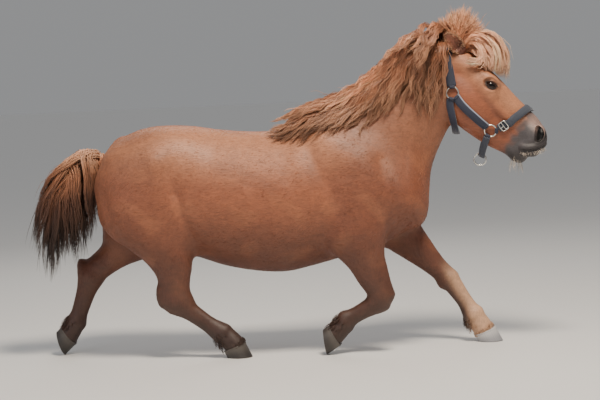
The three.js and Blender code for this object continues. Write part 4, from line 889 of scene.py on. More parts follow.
def mesh_piece(name, points, faces, finish, colours=None, replaces=(), smoothed=True, values=None):
    """A Blender mesh from places in the drawing. It rides on the pony and takes a finish."""
    made = bpy.data.meshes.new(name)
    flat = np.asarray(faces)
    made.vertices.add(len(points))
    made.vertices.foreach_set("co", ((points + SHIFT) * MM).astype(np.float32).ravel())
    made.loops.add(flat.size)
    made.loops.foreach_set("vertex_index", flat.astype(np.int32).ravel())
    made.polygons.add(len(flat))
    made.polygons.foreach_set("loop_start", np.arange(0, flat.size, flat.shape[1], dtype=np.int32))
    made.update(calc_edges=True)
    made.polygons.foreach_set("use_smooth", np.full(len(flat), smoothed))
    if colours is not None:
        paint = made.color_attributes.new("coat_colour", "FLOAT_COLOR", "POINT")
        paint.data.foreach_set("color", np.c_[colours, np.ones(len(colours))].astype(np.float32).ravel())
    for key, row in (values or {}).items():
        made.attributes.new(key, "FLOAT", "POINT").data.foreach_set("value", row.astype(np.float32))
    made.materials.append(finish)
    piece = bpy.data.objects.new(name, made)
    bpy.context.scene.collection.objects.link(piece)
    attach(piece, "root")
    if replaces:
        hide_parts(*replaces)
    return piece


FLESH_NODES = ["head", "neck", "torso", "foreleg_right", "foreleg_left", "hindleg_right",
               "hindleg_left", "tail"]


def lie_down(points):
    """1 where the coat runs downwards, as on the legs, and 0 where it runs back."""
    return 1 - smooth(330, 470, points[:, 2])


skin_colours = paint_shade_in_openings(skin_points, coat_colour(skin_points))
mesh_piece("skin", skin_points, skin_faces, short_coat, skin_colours, FLESH_NODES,
           values={"lie_down": lie_down(skin_points)})
print("skin painted")

# %% [markdown]
# Mane, forelock and tail are long hair. Thousands of single hairs would be too fine to see and too
# many for a library part, so each strand stands for a pinch of hair about 2 mm wide: a closed
# three-sided rod that thins to its tip. Strands follow clumps, clumps follow guides, and all share
# a clump's waves, which is how washed, wind-blown hair hangs together. They are meshes and not
# particles, so they are still there after export.

# %% Strands of long hair
RINGS = 11


def spread(places, count):
    """Places evenly spaced along smooth lines. The lines have the shape (lines, points, 3)."""
    steps = np.linspace(0, 1, places.shape[1])
    wanted = np.linspace(0, 1, count)
    return np.stack([
        np.stack([through(np.c_[steps, line[:, k]], wanted) for k in range(3)], axis=1) for line in places
    ])


def clumps_to_strands(random, guides, outward, each, width, wave, wave_size, loose=0.05, gather=0.35,
                      short=0.68, clear=3.0, frizz=1.3):
    """Strand paths round each guide, with the clump each belongs to. Shapes are (strands, rings, 3)."""
    count, rings = len(guides), guides.shape[1]
    clump = np.repeat(np.arange(count), each)
    size = len(clump)
    share = random.uniform(short, 1.0, size)
    place = share[:, None] * np.linspace(0, 1, RINGS)[None] * (rings - 1)
    first = np.clip(place.astype(int), 0, rings - 2)
    part = (place - first)[..., None]
    path = guides[clump[:, None], first] * (1 - part) + guides[clump[:, None], first + 1] * part
    out = outward[clump[:, None], first]
    ahead = unit(np.gradient(path, axis=1))
    out = unit(out - ahead * (out * ahead).sum(-1, keepdims=True))
    across = np.cross(ahead, out)
    t = np.linspace(0, 1, RINGS)[None, :, None]
    a = random.uniform(-1, 1, size)[:, None, None]
    b = (random.uniform(-1, 1, size) * np.sqrt(1 - a[:, 0, 0] ** 2))[:, None, None]
    half = np.asarray(width, float)[clump][:, None, None] / 2
    tight = 1 - (1 - gather) * smooth(0.25, 1.0, t)
    path = path + across * a * half * tight + out * b * half * 0.45 * tight
    length = np.linalg.norm(np.diff(path, axis=1), axis=-1).sum(1)[:, None, None]
    phase = random.uniform(0, 2 * math.pi, count)[clump] + random.normal(0, 0.45, size)
    turn = 2 * math.pi * length * t / wave_size + phase[:, None, None]
    strong = wave * smooth(0.0, 0.45, t) * random.uniform(0.6, 1.3, count)[clump][:, None, None]
    path = path + across * strong * (np.sin(turn) - 0.3) + out * 0.5 * strong * np.cos(turn * 0.9)
    stray = (random.random(size) < loose)[:, None, None] * t**1.5
    path = path + stray * random.normal(0, 1, (size, 1, 3)) * np.array([16, 12, 14])
    path = path + random.normal(0, frizz, path.shape) * smooth(0.05, 0.5, t)
    low = body.read(path.reshape(-1, 3)).reshape(size, RINGS)
    inside = (low < clear) & (t[0, :, 0] > 0.06)
    if inside.any():
        spots = path[inside]
        path[inside] = spots + unit(body.slope(spots)) * (clear - low[inside])[:, None]
    return path, clump, out


def strand_mesh(path, out, radius, fine=0.75):
    """Closed three-sided rods round strand paths: points, triangles and each point's strand and place."""
    size, rings = path.shape[:2]
    ahead = unit(np.gradient(path, axis=1))
    side = unit(np.cross(ahead, out))
    up = np.cross(side, ahead)
    t = np.linspace(0, 1, rings)
    profile = np.interp(t, [0, 0.3, 0.75, 0.92, 1], [fine, 1, 0.8, 0.45, 0.08])
    r = (radius if np.ndim(radius) else np.full(size, radius))[:, None, None] * profile[None, :, None]
    corners = np.stack([path + side * r * 1.3, path + up * r * 0.9, path - side * r * 1.3], axis=2)
    points = corners.reshape(-1, 3)
    ring = np.arange(rings - 1)[:, None] * 3 + np.arange(3)[None]
    nxt = np.arange(rings - 1)[:, None] * 3 + (np.arange(3)[None] + 1) % 3
    quads = np.stack([ring, nxt, nxt + 3, ring + 3], axis=-1).reshape(-1, 4)
    one = np.concatenate([quads[:, [0, 1, 2]], quads[:, [0, 2, 3]], [[2, 1, 0]],
                          [[rings * 3 - 3, rings * 3 - 2, rings * 3 - 1]]])
    faces = (one[None] + (np.arange(size) * rings * 3)[:, None, None]).reshape(-1, 3)
    strand = np.repeat(np.arange(size), rings * 3)
    place = np.tile(np.repeat(t, 3), size)
    return points, faces, strand, place


def long_hair_material(name, roughness, sheen=0.06):
    """Long hair, washed and brushed: a soft shine along the strands over the colour they carry."""
    made = material(name)
    paint = node(made, "ShaderNodeAttribute", {"attribute_name": "coat_colour"})
    shader = node(made, "ShaderNodeBsdfPrincipled", Base_Color=paint.outputs["Color"],
                  Roughness=roughness, IOR=1.55, Sheen_Weight=sheen, Sheen_Roughness=0.4)
    shader.inputs["Sheen Tint"].default_value = (*linear("#f0c8a4"), 1)
    return finish_surface(made, shader)


mane_hair = long_hair_material("long flaxen chestnut mane hair, brushed", 0.42)
tail_hair = long_hair_material("coarse brown tail hair, wind-blown", 0.5)


def hair_colours(random, stops, clump, strand, place, spread_by=0.2, tint=None):
    """A colour for each point: stops from root to tip, lighter or darker by clump and by strand."""
    rows = np.array([(at, *linear(colour)) for at, colour in stops])
    colour = np.stack([np.interp(place, rows[:, 0], rows[:, k]) for k in (1, 2, 3)], axis=1)
    by_clump = random.normal(0, spread_by, clump.max() + 1)[clump]
    by_strand = random.normal(0, spread_by * 0.8, len(clump))
    light = np.exp(by_clump + by_strand)
    if tint is not None:
        light = light * tint
    return np.clip(colour * light[strand][:, None], 0, 0.9)


MANE_STOPS = [(0, "#50301f"), (0.15, "#875436"), (0.5, "#ae7150"), (1, "#d29b78")]


def long_hair(name, random, made, radius, finish, stops, tint=None, heights=None):
    """A piece of long hair from strand paths. Its colours run from root to tip, or with height."""
    path, clump, out = made
    thick = radius * random.uniform(0.7, 1.25, len(path))
    points, faces, strand, place = strand_mesh(path, out, thick)
    if heights is not None:
        place = 0.8 * (points[:, 2] - heights[0]) / (heights[1] - heights[0]) + 0.2 * place
    colours = hair_colours(random, stops, clump, strand, place, tint=tint)
    roots = np.repeat(path[:, 1], RINGS * 3, axis=0)
    piece = mesh_piece(name, points, faces, finish, colours, smoothed=True)
    put_on_unwrap(piece, points, faces, roots)
    print(name, len(path), "strands", len(faces), "triangles")
    return piece


# %% [markdown]
# The export bakes colours through a UV map. On this one, each tuft and strand is a tiny patch at
# its root's place on an unwrap of the skin: the trunk, neck and head are rolled out along the
# spine, and each leg round its own axis.

# %% The unwrap that carries the coat
PATCH = 0.003
SPINE = [(-960, 560), (-700, 660), (-500, 600), (0, 545), (200, 590), (350, 690), (500, 830), (620, 960),
         (760, 880), (900, 760)]
LEG_LINES = {
    "hind_right": (RIGHT, [(0, -175), (120, -240), (208, -396), (260, -440), (420, -400)]),
    "hind_left": (LEFT, [(0, -861), (117, -799), (290, -736), (340, -700), (430, -560)]),
    "fore_right": (RIGHT, [(0, 120), (108, 204), (190, 344), (230, 330), (440, 238)]),
    "fore_left": (LEFT, [(0, 713), (100, 656), (232, 572), (330, 470), (440, 365)]),
}


def on_unwrap(places):
    """Where places on the pony lie on the unwrap, as two numbers from 0 to 1."""
    x, y, z = places.T
    spine = np.interp(x, *np.array(SPINE).T)
    round_it = np.arctan2(y, z - spine) / (2 * math.pi) + 0.5
    u = 0.02 + 0.96 * np.clip((x + 970) / 1880, 0, 1)
    v = 0.5 + 0.48 * round_it
    for number, (side, line) in enumerate(LEG_LINES.values()):
        heights, middles = np.array(line, float).T
        off = x - np.interp(z, heights, middles)
        here = (z < 395) & (y * side > 0) & (np.abs(off) < 130)
        turn = np.arctan2(y - side * 106, off) / (2 * math.pi) + 0.5
        u = np.where(here, 0.02 + 0.24 * number + 0.21 * turn, u)
        v = np.where(here, 0.02 + 0.44 * np.clip(z / 395, 0, 1), v)
    return np.stack([u, v], axis=1)


def put_on_unwrap(piece, points, faces, roots):
    """Writes the map: every corner lies in a patch round its root's place."""
    centre = on_unwrap(roots)
    away = points - roots
    reach = np.abs(away).max() + 1
    offset = np.stack([away[:, 0] + 0.5 * away[:, 1], away[:, 2] + 0.5 * away[:, 1]], axis=1) / reach
    flat = (centre + offset * PATCH / 3)[np.asarray(faces).ravel()]
    piece.data.uv_layers.new(name="OFBake").data.foreach_set("uv", flat.astype(np.float32).ravel())


# %% [markdown]
# The mane is parted on the crest. On the near side it lies in three layers that fall down and
# stream back with the trot, shortest at the withers. The outermost layer rises first, and its top
# is the outline of the neck. The far side is hidden in the picture and gets two layers.

# %% Mane guides
GUIDE_STEPS = 16
HAIR_TOP = [(-48, 806), (-3, 842), (71, 880), (179, 912), (287, 950), (361, 1014), (416, 1062),
            (490, 1130), (579, 1168), (640, 1190)]
MANE_FALL = [(60, 150), (112, 205), (200, 255), (300, 290), (400, 290), (500, 290), (590, 325)]
MANE_BACK = [(60, 1.3), (112, 1.15), (250, 0.85), (400, 0.6), (520, 0.35), (590, 0.12)]


def crest_points(x, y):
    """The top of the flesh at places seen from above."""
    heights = np.arange(1176, 600, -3.0)
    columns = np.stack(np.broadcast_arrays(x[:, None], y[:, None], heights[None]), axis=-1)
    inside = body.read(columns.reshape(-1, 3)).reshape(len(x), -1) < 0
    return np.stack([x, y, heights[np.argmax(inside, axis=1)]], axis=1)


def draped(roots, way, lift, length, hold=0.6):
    """Guides that leave their roots, follow the way of the hair and lie over the flesh."""
    at = roots + unit(body.slope(roots)) * -8
    path, outward = [at], [unit(body.slope(roots))]
    at = roots
    for step in range(1, GUIDE_STEPS + 1):
        t = step / GUIDE_STEPS
        slope = unit(body.slope(at))
        level = body.read(at)
        lie = way(t)
        onto = np.clip((lie * slope).sum(1), -9, 0) if t > 0.12 else (lie * slope).sum(1)
        lie = unit(lie - slope * onto[:, None])
        at = at + lie * (length / GUIDE_STEPS)[:, None]
        level = body.read(at)
        lack = lift(t) - level
        lack = np.where(lack > 0, lack, np.maximum(lack, -70) * hold * (level < 80))
        at = at + unit(body.slope(at)) * np.clip(lack, -12, 30)[:, None]
        path.append(at)
        outward.append(slope)
    return np.stack(path, axis=1), np.stack(outward, axis=1)


def mane_layer(random, side, count, x_from, x_to, out, rise, rest, fall, back_more=0.0):
    """Guides of one layer. Rise is the share of the gap up to the mane's outline, rest a height."""
    x = np.linspace(x_from, x_to, count) + random.normal(0, 7, count)
    y = side * np.maximum(out + random.normal(0, 5, count), 1)
    roots = crest_points(x, y)
    gap = np.clip(np.interp(x, *np.array(HAIR_TOP).T) - crest_points(x, 0 * y)[:, 2], 14, 90)
    back = np.interp(x, *np.array(MANE_BACK).T) + back_more + random.normal(0, 0.13, count)
    length = np.interp(x, *np.array(MANE_FALL).T) * fall * random.uniform(0.86, 1.1, count)

    def way(t):
        return np.stack([-back * np.clip(0.4 + t, 0, 1.1), np.full(count, side * max(1 - 1.3 * t, 0)),
                         np.full(count, -1.15 * t)], axis=1)

    def lift(t):
        high = gap * rise * smooth(0, 0.2, t)
        return high + (rest - high) * smooth(0.25, 0.75, t)

    return draped(roots, way, lift, length)


def near_mane():
    random = np.random.default_rng(11)
    layers = [
        ("mane_near_under", mane_layer(random, RIGHT, 58, 96, 592, 36, 0.25, 8, 0.98), 24, 28),
        ("mane_near_middle", mane_layer(random, RIGHT, 58, 100, 590, 22, 0.6, 20, 0.95), 28, 26),
        ("mane_near_top", mane_layer(random, RIGHT, 54, 118, 586, 7, 0.95, 32, 0.8, 0.35), 31, 28),
    ]
    for number, (name, (guides, outward), each, width) in enumerate(layers):
        widths = width * random.uniform(0.8, 1.25, len(guides))
        made = clumps_to_strands(random, guides, outward, each, widths, 6.5, 84, loose=0.05 + 0.02 * number)
        # The under and middle layers are darkened by their tint: painted shade beneath the top layer
        long_hair(name, random, made, 1.15, mane_hair, MANE_STOPS, tint=(0.55, 0.75, 1.0)[number])


near_mane()

# %% Far side of the mane


def far_mane():
    random = np.random.default_rng(12)
    layers = [
        ("mane_far_under", mane_layer(random, LEFT, 46, 110, 588, 32, 0.3, 10, 0.74), 24, 32),
        ("mane_far_top", mane_layer(random, LEFT, 46, 124, 584, 10, 0.9, 26, 0.6, 0.25), 25, 34),
    ]
    for name, (guides, outward), each, width in layers:
        widths = width * random.uniform(0.8, 1.25, len(guides))
        made = clumps_to_strands(random, guides, outward, each, widths, 6.5, 84)
        long_hair(name, random, made, 1.25, mane_hair, MANE_STOPS)


far_mane()

# %% [markdown]
# Between the ears the hair has two ways: a tuft stands up at the poll, and the forelock sweeps
# forward in an arch and falls to just above the eyes. Beside the ear some of it curls back.

# %% Forelock and tuft
FORELOCKS = 88
FORELOCK_OUTER = [(-18, 40), (-6, 132), (44, 176), (118, 160), (196, 86)]
FORELOCK_INNER = [(12, 44), (26, 84), (64, 100), (104, 90), (150, 66)]
FORELOCK_STOPS = [(0, "#8f5b41"), (0.15, "#c0825f"), (0.55, "#dfa583"), (1, "#ebba99")]
TUFT_TOP = [(560, 1150), (579, 1166), (615, 1184), (661, 1206), (706, 1186), (728, 1142), (750, 1122)]


def forelock():
    """Locks that rise from the poll, arch forward in layers and fan out over the brow."""
    random = np.random.default_rng(37)
    outer, inner = np.array(FORELOCK_OUTER, float), np.array(FORELOCK_INNER, float)
    rows = []
    for number in range(FORELOCKS):
        out = -1 + 2 * (number % 22 + random.uniform(0, 1)) / 22
        layer = (number // 22 + random.uniform(0, 1)) / 4
        line = inner + (outer - inner) * layer + random.normal(0, 4, (5, 2))
        along = line[:, 0] * (1 - 0.4 * out * out * np.linspace(0, 1, 5))
        top = line[:, 1] * (1 - 0.36 * out * out * np.array([0, 0.6, 1, 1, 0.9]))
        side = out * np.array([26, 40, 62, 78, 84]) + random.normal(0, 4, 5)
        rows.append([in_head(*place) for place in zip(along, top, side)])
    guides = spread(np.array(rows), GUIDE_STEPS)
    outward = unit(guides - in_head(90, 10, 0))
    widths = random.uniform(24, 34, len(rows))
    made = clumps_to_strands(random, guides, outward, 26, widths, 5.0, 62, loose=0.02, short=0.8)
    long_hair("forelock", random, made, 1.2, mane_hair, FORELOCK_STOPS)


def poll_tuft():
    random = np.random.default_rng(41)
    rows = []
    for k in range(84):
        share = (k % 28) / 27 + random.normal(0, 0.02)
        x = 560 + 178 * share
        y = random.uniform(-36, 36)
        z = np.interp(x, *np.array(TUFT_TOP).T) + 16 - random.uniform(0, 1) ** 2 * 44 - 0.3 * abs(y)
        root = in_head(-42 + 40 * share, 36, 0.7 * y)
        tip = np.array([x, y, z])
        bend = np.array([6 - 12 * share, 0.1 * y, 34])
        rows.append([root, root + bend, root * 0.45 + tip * 0.55 + np.array([6 - 12 * share, 0, 6]), tip])
    guides = spread(np.array(rows), GUIDE_STEPS)
    outward = unit(guides - in_head(-30, 30, 0) + np.array([0, 1, 0]))
    widths = random.uniform(20, 32, len(rows))
    made = clumps_to_strands(random, guides, outward, 20, widths, 3.5, 58, gather=0.5, short=0.8)
    long_hair("poll_tuft", random, made, 1.15, mane_hair, MANE_STOPS, tint=0.95)


def temple_curls():
    random = np.random.default_rng(43)
    rows = []
    for side in (RIGHT, LEFT):
        for k in range(17):
            s = k / 16
            shift = random.normal(0, 3, (6, 3))
            line = np.array([
                (-6 + 8 * s, 60, 30), (10 + 10 * s, 96, 48), (40 + 14 * s, 96 - 8 * s, 70),
                (62 + 10 * s, 72 - 6 * s, 84), (58 + 4 * s, 42 + 10 * s, 90), (30 - 6 * s, 24 + 14 * s, 86),
            ]) + shift
            rows.append([in_head(along, top, side * out) for along, top, out in line])
    guides = spread(np.array(rows), GUIDE_STEPS)
    outward = unit(guides - in_head(40, 0, 0))
    widths = random.uniform(20, 30, len(rows))
    made = clumps_to_strands(random, guides, outward, 22, widths, 3.5, 60, clear=4)
    long_hair("temple_curls", random, made, 1.1, mane_hair, FORELOCK_STOPS)


forelock()
poll_tuft()
temple_curls()

# %% [markdown]
# The dock is the fleshy top of the tail. It arches off the croup, and the tail's hair falls from
# all along it, sandy at its root and dark brown at the tips, blown back a little by the trot.

# %% Tail
DOCK = [(-650, 0, 722), (-700, 0, 738), (-746, 0, 722), (-772, 0, 672), (-786, 0, 610)]
TAIL_EDGE = [
    (0, -866, 640), (0.1, -884, 566), (0.22, -938, 414), (0.32, -900, 366), (0.46, -890, 286),
    (0.58, -846, 268), (0.7, -786, 306), (0.8, -736, 340), (0.9, -704, 424), (1, -668, 480),
]
TAIL_ROOTS = [(0, 0.12), (0.15, 0.35), (0.3, 0.6), (0.5, 0.9), (0.7, 0.8), (0.85, 0.42), (1, 0.08)]
TAIL_STOPS = [(0, "#dba98b"), (0.12, "#c8926f"), (0.26, "#9a6446"), (0.42, "#5e3d2e"), (0.7, "#36261f"),
              (1, "#261c19")]


def tail_part(name, seed, count, swell, each, dull):
    """Locks from all along the dock to tips round the tail's edge, coloured by their height."""
    random = np.random.default_rng(seed)
    dock = spread(np.array([DOCK], float), 60)[0]
    edge, roots = np.array(TAIL_EDGE), np.array(TAIL_ROOTS)
    rows = []
    for number in range(count):
        share = np.clip((number + 0.5) / count + random.normal(0, 0.02), 0, 1)
        place = np.clip(np.interp(share, roots[:, 0], roots[:, 1]) + random.normal(0, 0.09), 0, 1)
        root = dock[int(place * 59)]
        y = random.uniform(-56, 56)
        reach = swell * random.uniform(0.74, 1.03)
        x, z = (root[k] + (np.interp(share, edge[:, 0], edge[:, column]) - root[k]) * reach
                for k, column in ((0, 1), (2, 2)))
        rows.append([
            root + 0.25 * (np.array([-728, 0, 650]) - root), root + np.array([0, y * 0.5, 10 * swell]),
            np.array([root[0] + 0.44 * (x - root[0]), y * 1.1, root[2] + 0.2 * (z - root[2])]),
            np.array([root[0] + 0.84 * (x - root[0]), y * 1.25, root[2] + 0.6 * (z - root[2])]),
            np.array([x, y, z]),
        ])
    guides = spread(np.array(rows), GUIDE_STEPS)
    outward = unit(guides - np.array([-745, 0, 600]))
    widths = random.uniform(34, 52, len(rows))
    made = clumps_to_strands(random, guides, outward, each, widths, 6.0, 120, gather=0.5, short=0.66, clear=4)
    long_hair(name, random, made, 1.35, tail_hair, TAIL_STOPS, tint=dull, heights=(744, 270))


tail_part("tail_outer", 57, 68, 1.0, 42, 1.0)
tail_part("tail_inner", 58, 56, 0.85, 34, 0.7)
# %% [markdown]
# A horse's eye is a large dark ball set at the side of the head, with a brown iris and a pupil that
# is wider than high. It is modelled as one ball with a clear bulge in front and coloured by the
# angle from its middle. Its surface is always wet, so it is very smooth and mirrors the lamps.

# %% Eyes
EYE_AROUND, EYE_RINGS = 64, 40
PUPIL, IRIS = (0.34, 0.17), 0.74


def eyeball(side):
    theta = np.linspace(0, math.pi, EYE_RINGS)[:, None]
    turn = np.linspace(0, 2 * math.pi, EYE_AROUND, endpoint=False)[None]
    ahead, upward, out = eye_axes(side)
    radius = EYE_RADIUS - 1.2 + 1.6 * np.exp(-((theta / 0.55) ** 2)) + 0 * turn
    parts = (np.sin(theta) * np.cos(turn), np.sin(theta) * np.sin(turn), np.cos(theta) + 0 * turn)
    rays = sum(part[..., None] * axis for part, axis in zip(parts, (ahead, upward, out)))
    points = (eye_at(side) + rays * radius[..., None]).reshape(-1, 3)
    number = np.arange(EYE_RINGS * EYE_AROUND).reshape(EYE_RINGS, EYE_AROUND)
    after = np.roll(number, -1, axis=1)
    faces = np.stack([number[:-1], number[1:], after[1:], after[:-1]], axis=-1).reshape(-1, 4)
    if side == RIGHT:
        faces = faces[:, ::-1]
    wide = np.sqrt((parts[0] / PUPIL[0]) ** 2 + (parts[1] / PUPIL[1]) ** 2)
    angle = (theta + 0 * turn).ravel()
    fibres = 0.5 + 0.5 * np.sin(turn * 37 + 3 * np.sin(turn * 5) + 0 * theta).ravel()
    colour = mix(linear("#070505"), linear("#25140c"), smooth(0.9, 1.25, wide.ravel()))
    colour = mix(colour, linear("#3c2214"), 0.35 * fibres * smooth(1.1, 1.9, wide.ravel()))
    colour = mix(colour, linear("#120c0a"), smooth(IRIS - 0.08, IRIS, angle))
    return points, faces, colour


wet_eye = material("wet clear cornea over a dark brown iris")
eye_paint = node(wet_eye, "ShaderNodeAttribute", {"attribute_name": "coat_colour"})
eye_shader = node(wet_eye, "ShaderNodeBsdfPrincipled", Base_Color=eye_paint.outputs["Color"],
                  Roughness=0.05, IOR=1.376, Coat_Weight=0.35, Coat_Roughness=0.02)
finish_surface(wet_eye, eye_shader)
for side, word in ((RIGHT, "right"), (LEFT, "left")):
    points, faces, colour = eyeball(side)
    mesh_piece("eyeball_" + word, points, faces, wet_eye, colour, ["eye_" + word])
print("eyes", len(points), "points each")

# %% [markdown]
# An ear is a thin cup of gristle with short hair outside and softer, paler skin inside. In the
# picture the ears are turned out and back. Each is a C-shaped section swept from the root to the
# tip: the outside arc, then the inside arc a few millimetres in.

# %% Ears
EAR_BASE, EAR_TIP = (-4, 44, 60), (590, 114, 1114)
EAR = {"long": 92, "wide": 27, "deep": 17, "wall": 4, "root": 14, "bend": 18}
EAR_WIDTH = [(-0.2, 0.62), (0, 0.72), (0.25, 1), (0.55, 0.86), (0.85, 0.36), (1, 0.08)]
EAR_RINGS, EAR_ARC = 30, 16


def ear(side):
    base = in_head(EAR_BASE[0], EAR_BASE[1], side * EAR_BASE[2])
    along = unit(np.array([EAR_TIP[0], side * EAR_TIP[1], EAR_TIP[2]]) - base)
    opening = np.array([0.25, side, -0.1]) - 0.4 * along
    opening = unit(opening - along * (opening @ along))
    across = np.cross(along, opening)
    rings, inner = [], []
    for t in np.linspace(-EAR["root"] / EAR["long"], 1, EAR_RINGS):
        share = float(through(EAR_WIDTH, t))
        wide, deep = EAR["wide"] * share, EAR["deep"] * share
        centre = base + along * t * EAR["long"] - opening * EAR["bend"] * t * t
        turns = np.linspace(0, math.pi, EAR_ARC)[:, None]
        wave = 1 + 0.05 * np.sin(3 * turns + 5 * t)
        outside = centre + across * np.cos(turns) * wide - opening * np.sin(turns) * deep * wave
        turns = turns[::-1]
        hollow = np.maximum(deep - EAR["wall"], 0.3) * (1 if t > 0.12 else -0.4 + 0.4 * (t > 0))
        inside = centre + across * np.cos(turns) * wide * 0.86 - opening * np.sin(turns) * hollow
        rings.append(np.concatenate([outside, inside]))
        inner.append(np.r_[np.zeros(EAR_ARC), np.ones(EAR_ARC)])
    return np.array(rings), np.array(inner), opening, along


def swept(rings, close_ends=True):
    """Joins rings of equal size into a tube of quads, with flat ends made of slices."""
    count, around = rings.shape[:2]
    number = np.arange(count * around).reshape(count, around)
    after = np.roll(number, -1, axis=1)
    faces = np.stack([number[:-1], after[:-1], after[1:], number[1:]], axis=-1).reshape(-1, 4)
    if close_ends:
        half = around // 2
        k = np.arange(half - 1)
        for row, flip in ((number[0], True), (number[-1], False)):
            cap = np.stack([row[k], row[k + 1], row[around - 2 - k], row[around - 1 - k]], axis=1)
            faces = np.concatenate([faces, cap[:, ::-1] if flip else cap])
    return rings.reshape(-1, 3), faces


ear_frames = {}
for side, word in ((RIGHT, "right"), (LEFT, "left")):
    rings, inner, opening, along = ear(side)
    ear_frames[side] = (rings, opening, along)
    points, faces = swept(rings)
    if side == RIGHT:
        faces = faces[:, ::-1]
    height = np.repeat(np.linspace(0, 1, EAR_RINGS), 2 * EAR_ARC)
    outside_colour = mix(linear("#8f5433"), linear("#5b3422"), smooth(0.55, 1, height))
    # Inside, the cup is darker deep at the root: painted shade in the hollow; the pinkish skin nearer the tip
    # is its own colour
    inside_colour = mix(linear("#5a2f20"), linear("#b5745a"), smooth(0.1, 0.75, height))
    colour = mix(outside_colour, inside_colour, inner.ravel())
    mesh_piece("ear_skin_" + word, points, faces, short_coat, colour, ["ear_" + word],
               values={"lie_down": np.ones(len(points))})
print("ears", len(points), "points each")

# %% [markdown]
# Longer soft hair fringes the rim of a pony's ear and half fills its cup. Each hair starts on
# the rim or inside and leans towards the tip.

# %% Hair in and round the ears


def ear_hair():
    random = np.random.default_rng(51)
    rows, outs = [], []
    for side in (RIGHT, LEFT):
        rings, opening, along = ear_frames[side]
        for k in range(230):
            edge = random.random() < 0.55
            ring = int(random.uniform(4, EAR_RINGS - 3))
            spot = random.integers(EAR_ARC, 2 * EAR_ARC) if not edge else random.choice(
                [0, EAR_ARC - 1, EAR_ARC, 2 * EAR_ARC - 1])
            root = rings[ring, spot]
            reach = random.uniform(8, 17)
            way = unit(along * 0.9 + opening * random.uniform(0.2, 0.8) + random.normal(0, 0.2, 3))
            rows.append([
                root - opening * 1.5, root + way * reach * 0.4,
                root + way * reach * 0.75 + along * 1.5, root + way * reach * 0.9 + along * 5,
            ])
            outs.append(opening)
    guides = spread(np.array(rows), GUIDE_STEPS)
    outward = np.repeat(np.array(outs)[:, None], GUIDE_STEPS, axis=1)
    made = clumps_to_strands(random, guides, outward, 1, np.full(len(rows), 1.0), 0.4, 30, clear=0.2)
    stops = [(0, "#8a5a44"), (1, "#c89c7c")]
    long_hair("ear_hair", random, made, 0.6, mane_hair, stops)


ear_hair()

# %% [markdown]
# The halter is padded webbing: a flat woven nylon band over a soft lining, with a pale edge along
# the cheek straps. Straps are swept sections that rest on the head's own field, so they lie on
# the cheek and the nose as the real ones do. Ends loop round rings of plated steel. The threads
# are about a millimetre wide, and are drawn twice as coarse, so that the weave still shows.

# %% Webbing
WEAVE = 2.4


def webbing_material(name, base, edge):
    """Woven nylon: small crossing ribs in bump and colour, matt with a faint shine."""
    made = material(name)
    along = node(made, "ShaderNodeAttribute", {"attribute_name": "along_strap"})
    across = node(made, "ShaderNodeAttribute", {"attribute_name": "across_strap"})
    ribs = []
    for source in (along, across):
        turns = node(made, "ShaderNodeMath", {"operation": "MULTIPLY"}, i0=source.outputs["Fac"],
                     i1=2 * math.pi / WEAVE)
        ribs.append(node(made, "ShaderNodeMath", {"operation": "SINE"}, i0=turns.outputs[0]))
    weave = node(made, "ShaderNodeMath", {"operation": "MULTIPLY"}, i0=ribs[0].outputs[0],
                 i1=ribs[1].outputs[0])
    rim = node(made, "ShaderNodeAttribute", {"attribute_name": "edge_strap"})
    shade = node(made, "ShaderNodeMapRange", Value=weave.outputs[0], From_Min=-1.0, To_Min=0.78, To_Max=1.22)
    band = node(made, "ShaderNodeMix", {"data_type": "RGBA"}, Factor=rim.outputs["Fac"],
                i6=(*linear(base), 1), i7=(*linear(edge), 1))
    colour = node(made, "ShaderNodeVectorMath", {"operation": "MULTIPLY"}, i0=band.outputs[2],
                  i1=shade.outputs[0])
    bump = node(made, "ShaderNodeBump", Strength=0.5, Distance=0.6 * MM, Height=weave.outputs[0])
    shader = node(made, "ShaderNodeBsdfPrincipled", Base_Color=colour.outputs[0], Roughness=0.62, IOR=1.53,
                  Normal=bump.outputs[0], Sheen_Weight=0.25, Sheen_Roughness=0.4)
    return finish_surface(made, shader)


webbing = webbing_material("navy nylon webbing, woven and padded", "#20263a", "#8f95a6")
plain_webbing = webbing_material("dark grey nylon webbing, woven", "#363c49", "#545a66")
STRAP_POINTS = 13


def laid(points, height, free):
    """Moves places to a height over the head. Free ones are only pushed out, never pulled in."""
    for _ in range(5):
        level = head.read(points)
        step = np.where((level > height) & free, 0, height - level)
        points = points + unit(head.slope(points)) * step[:, None]
    return points


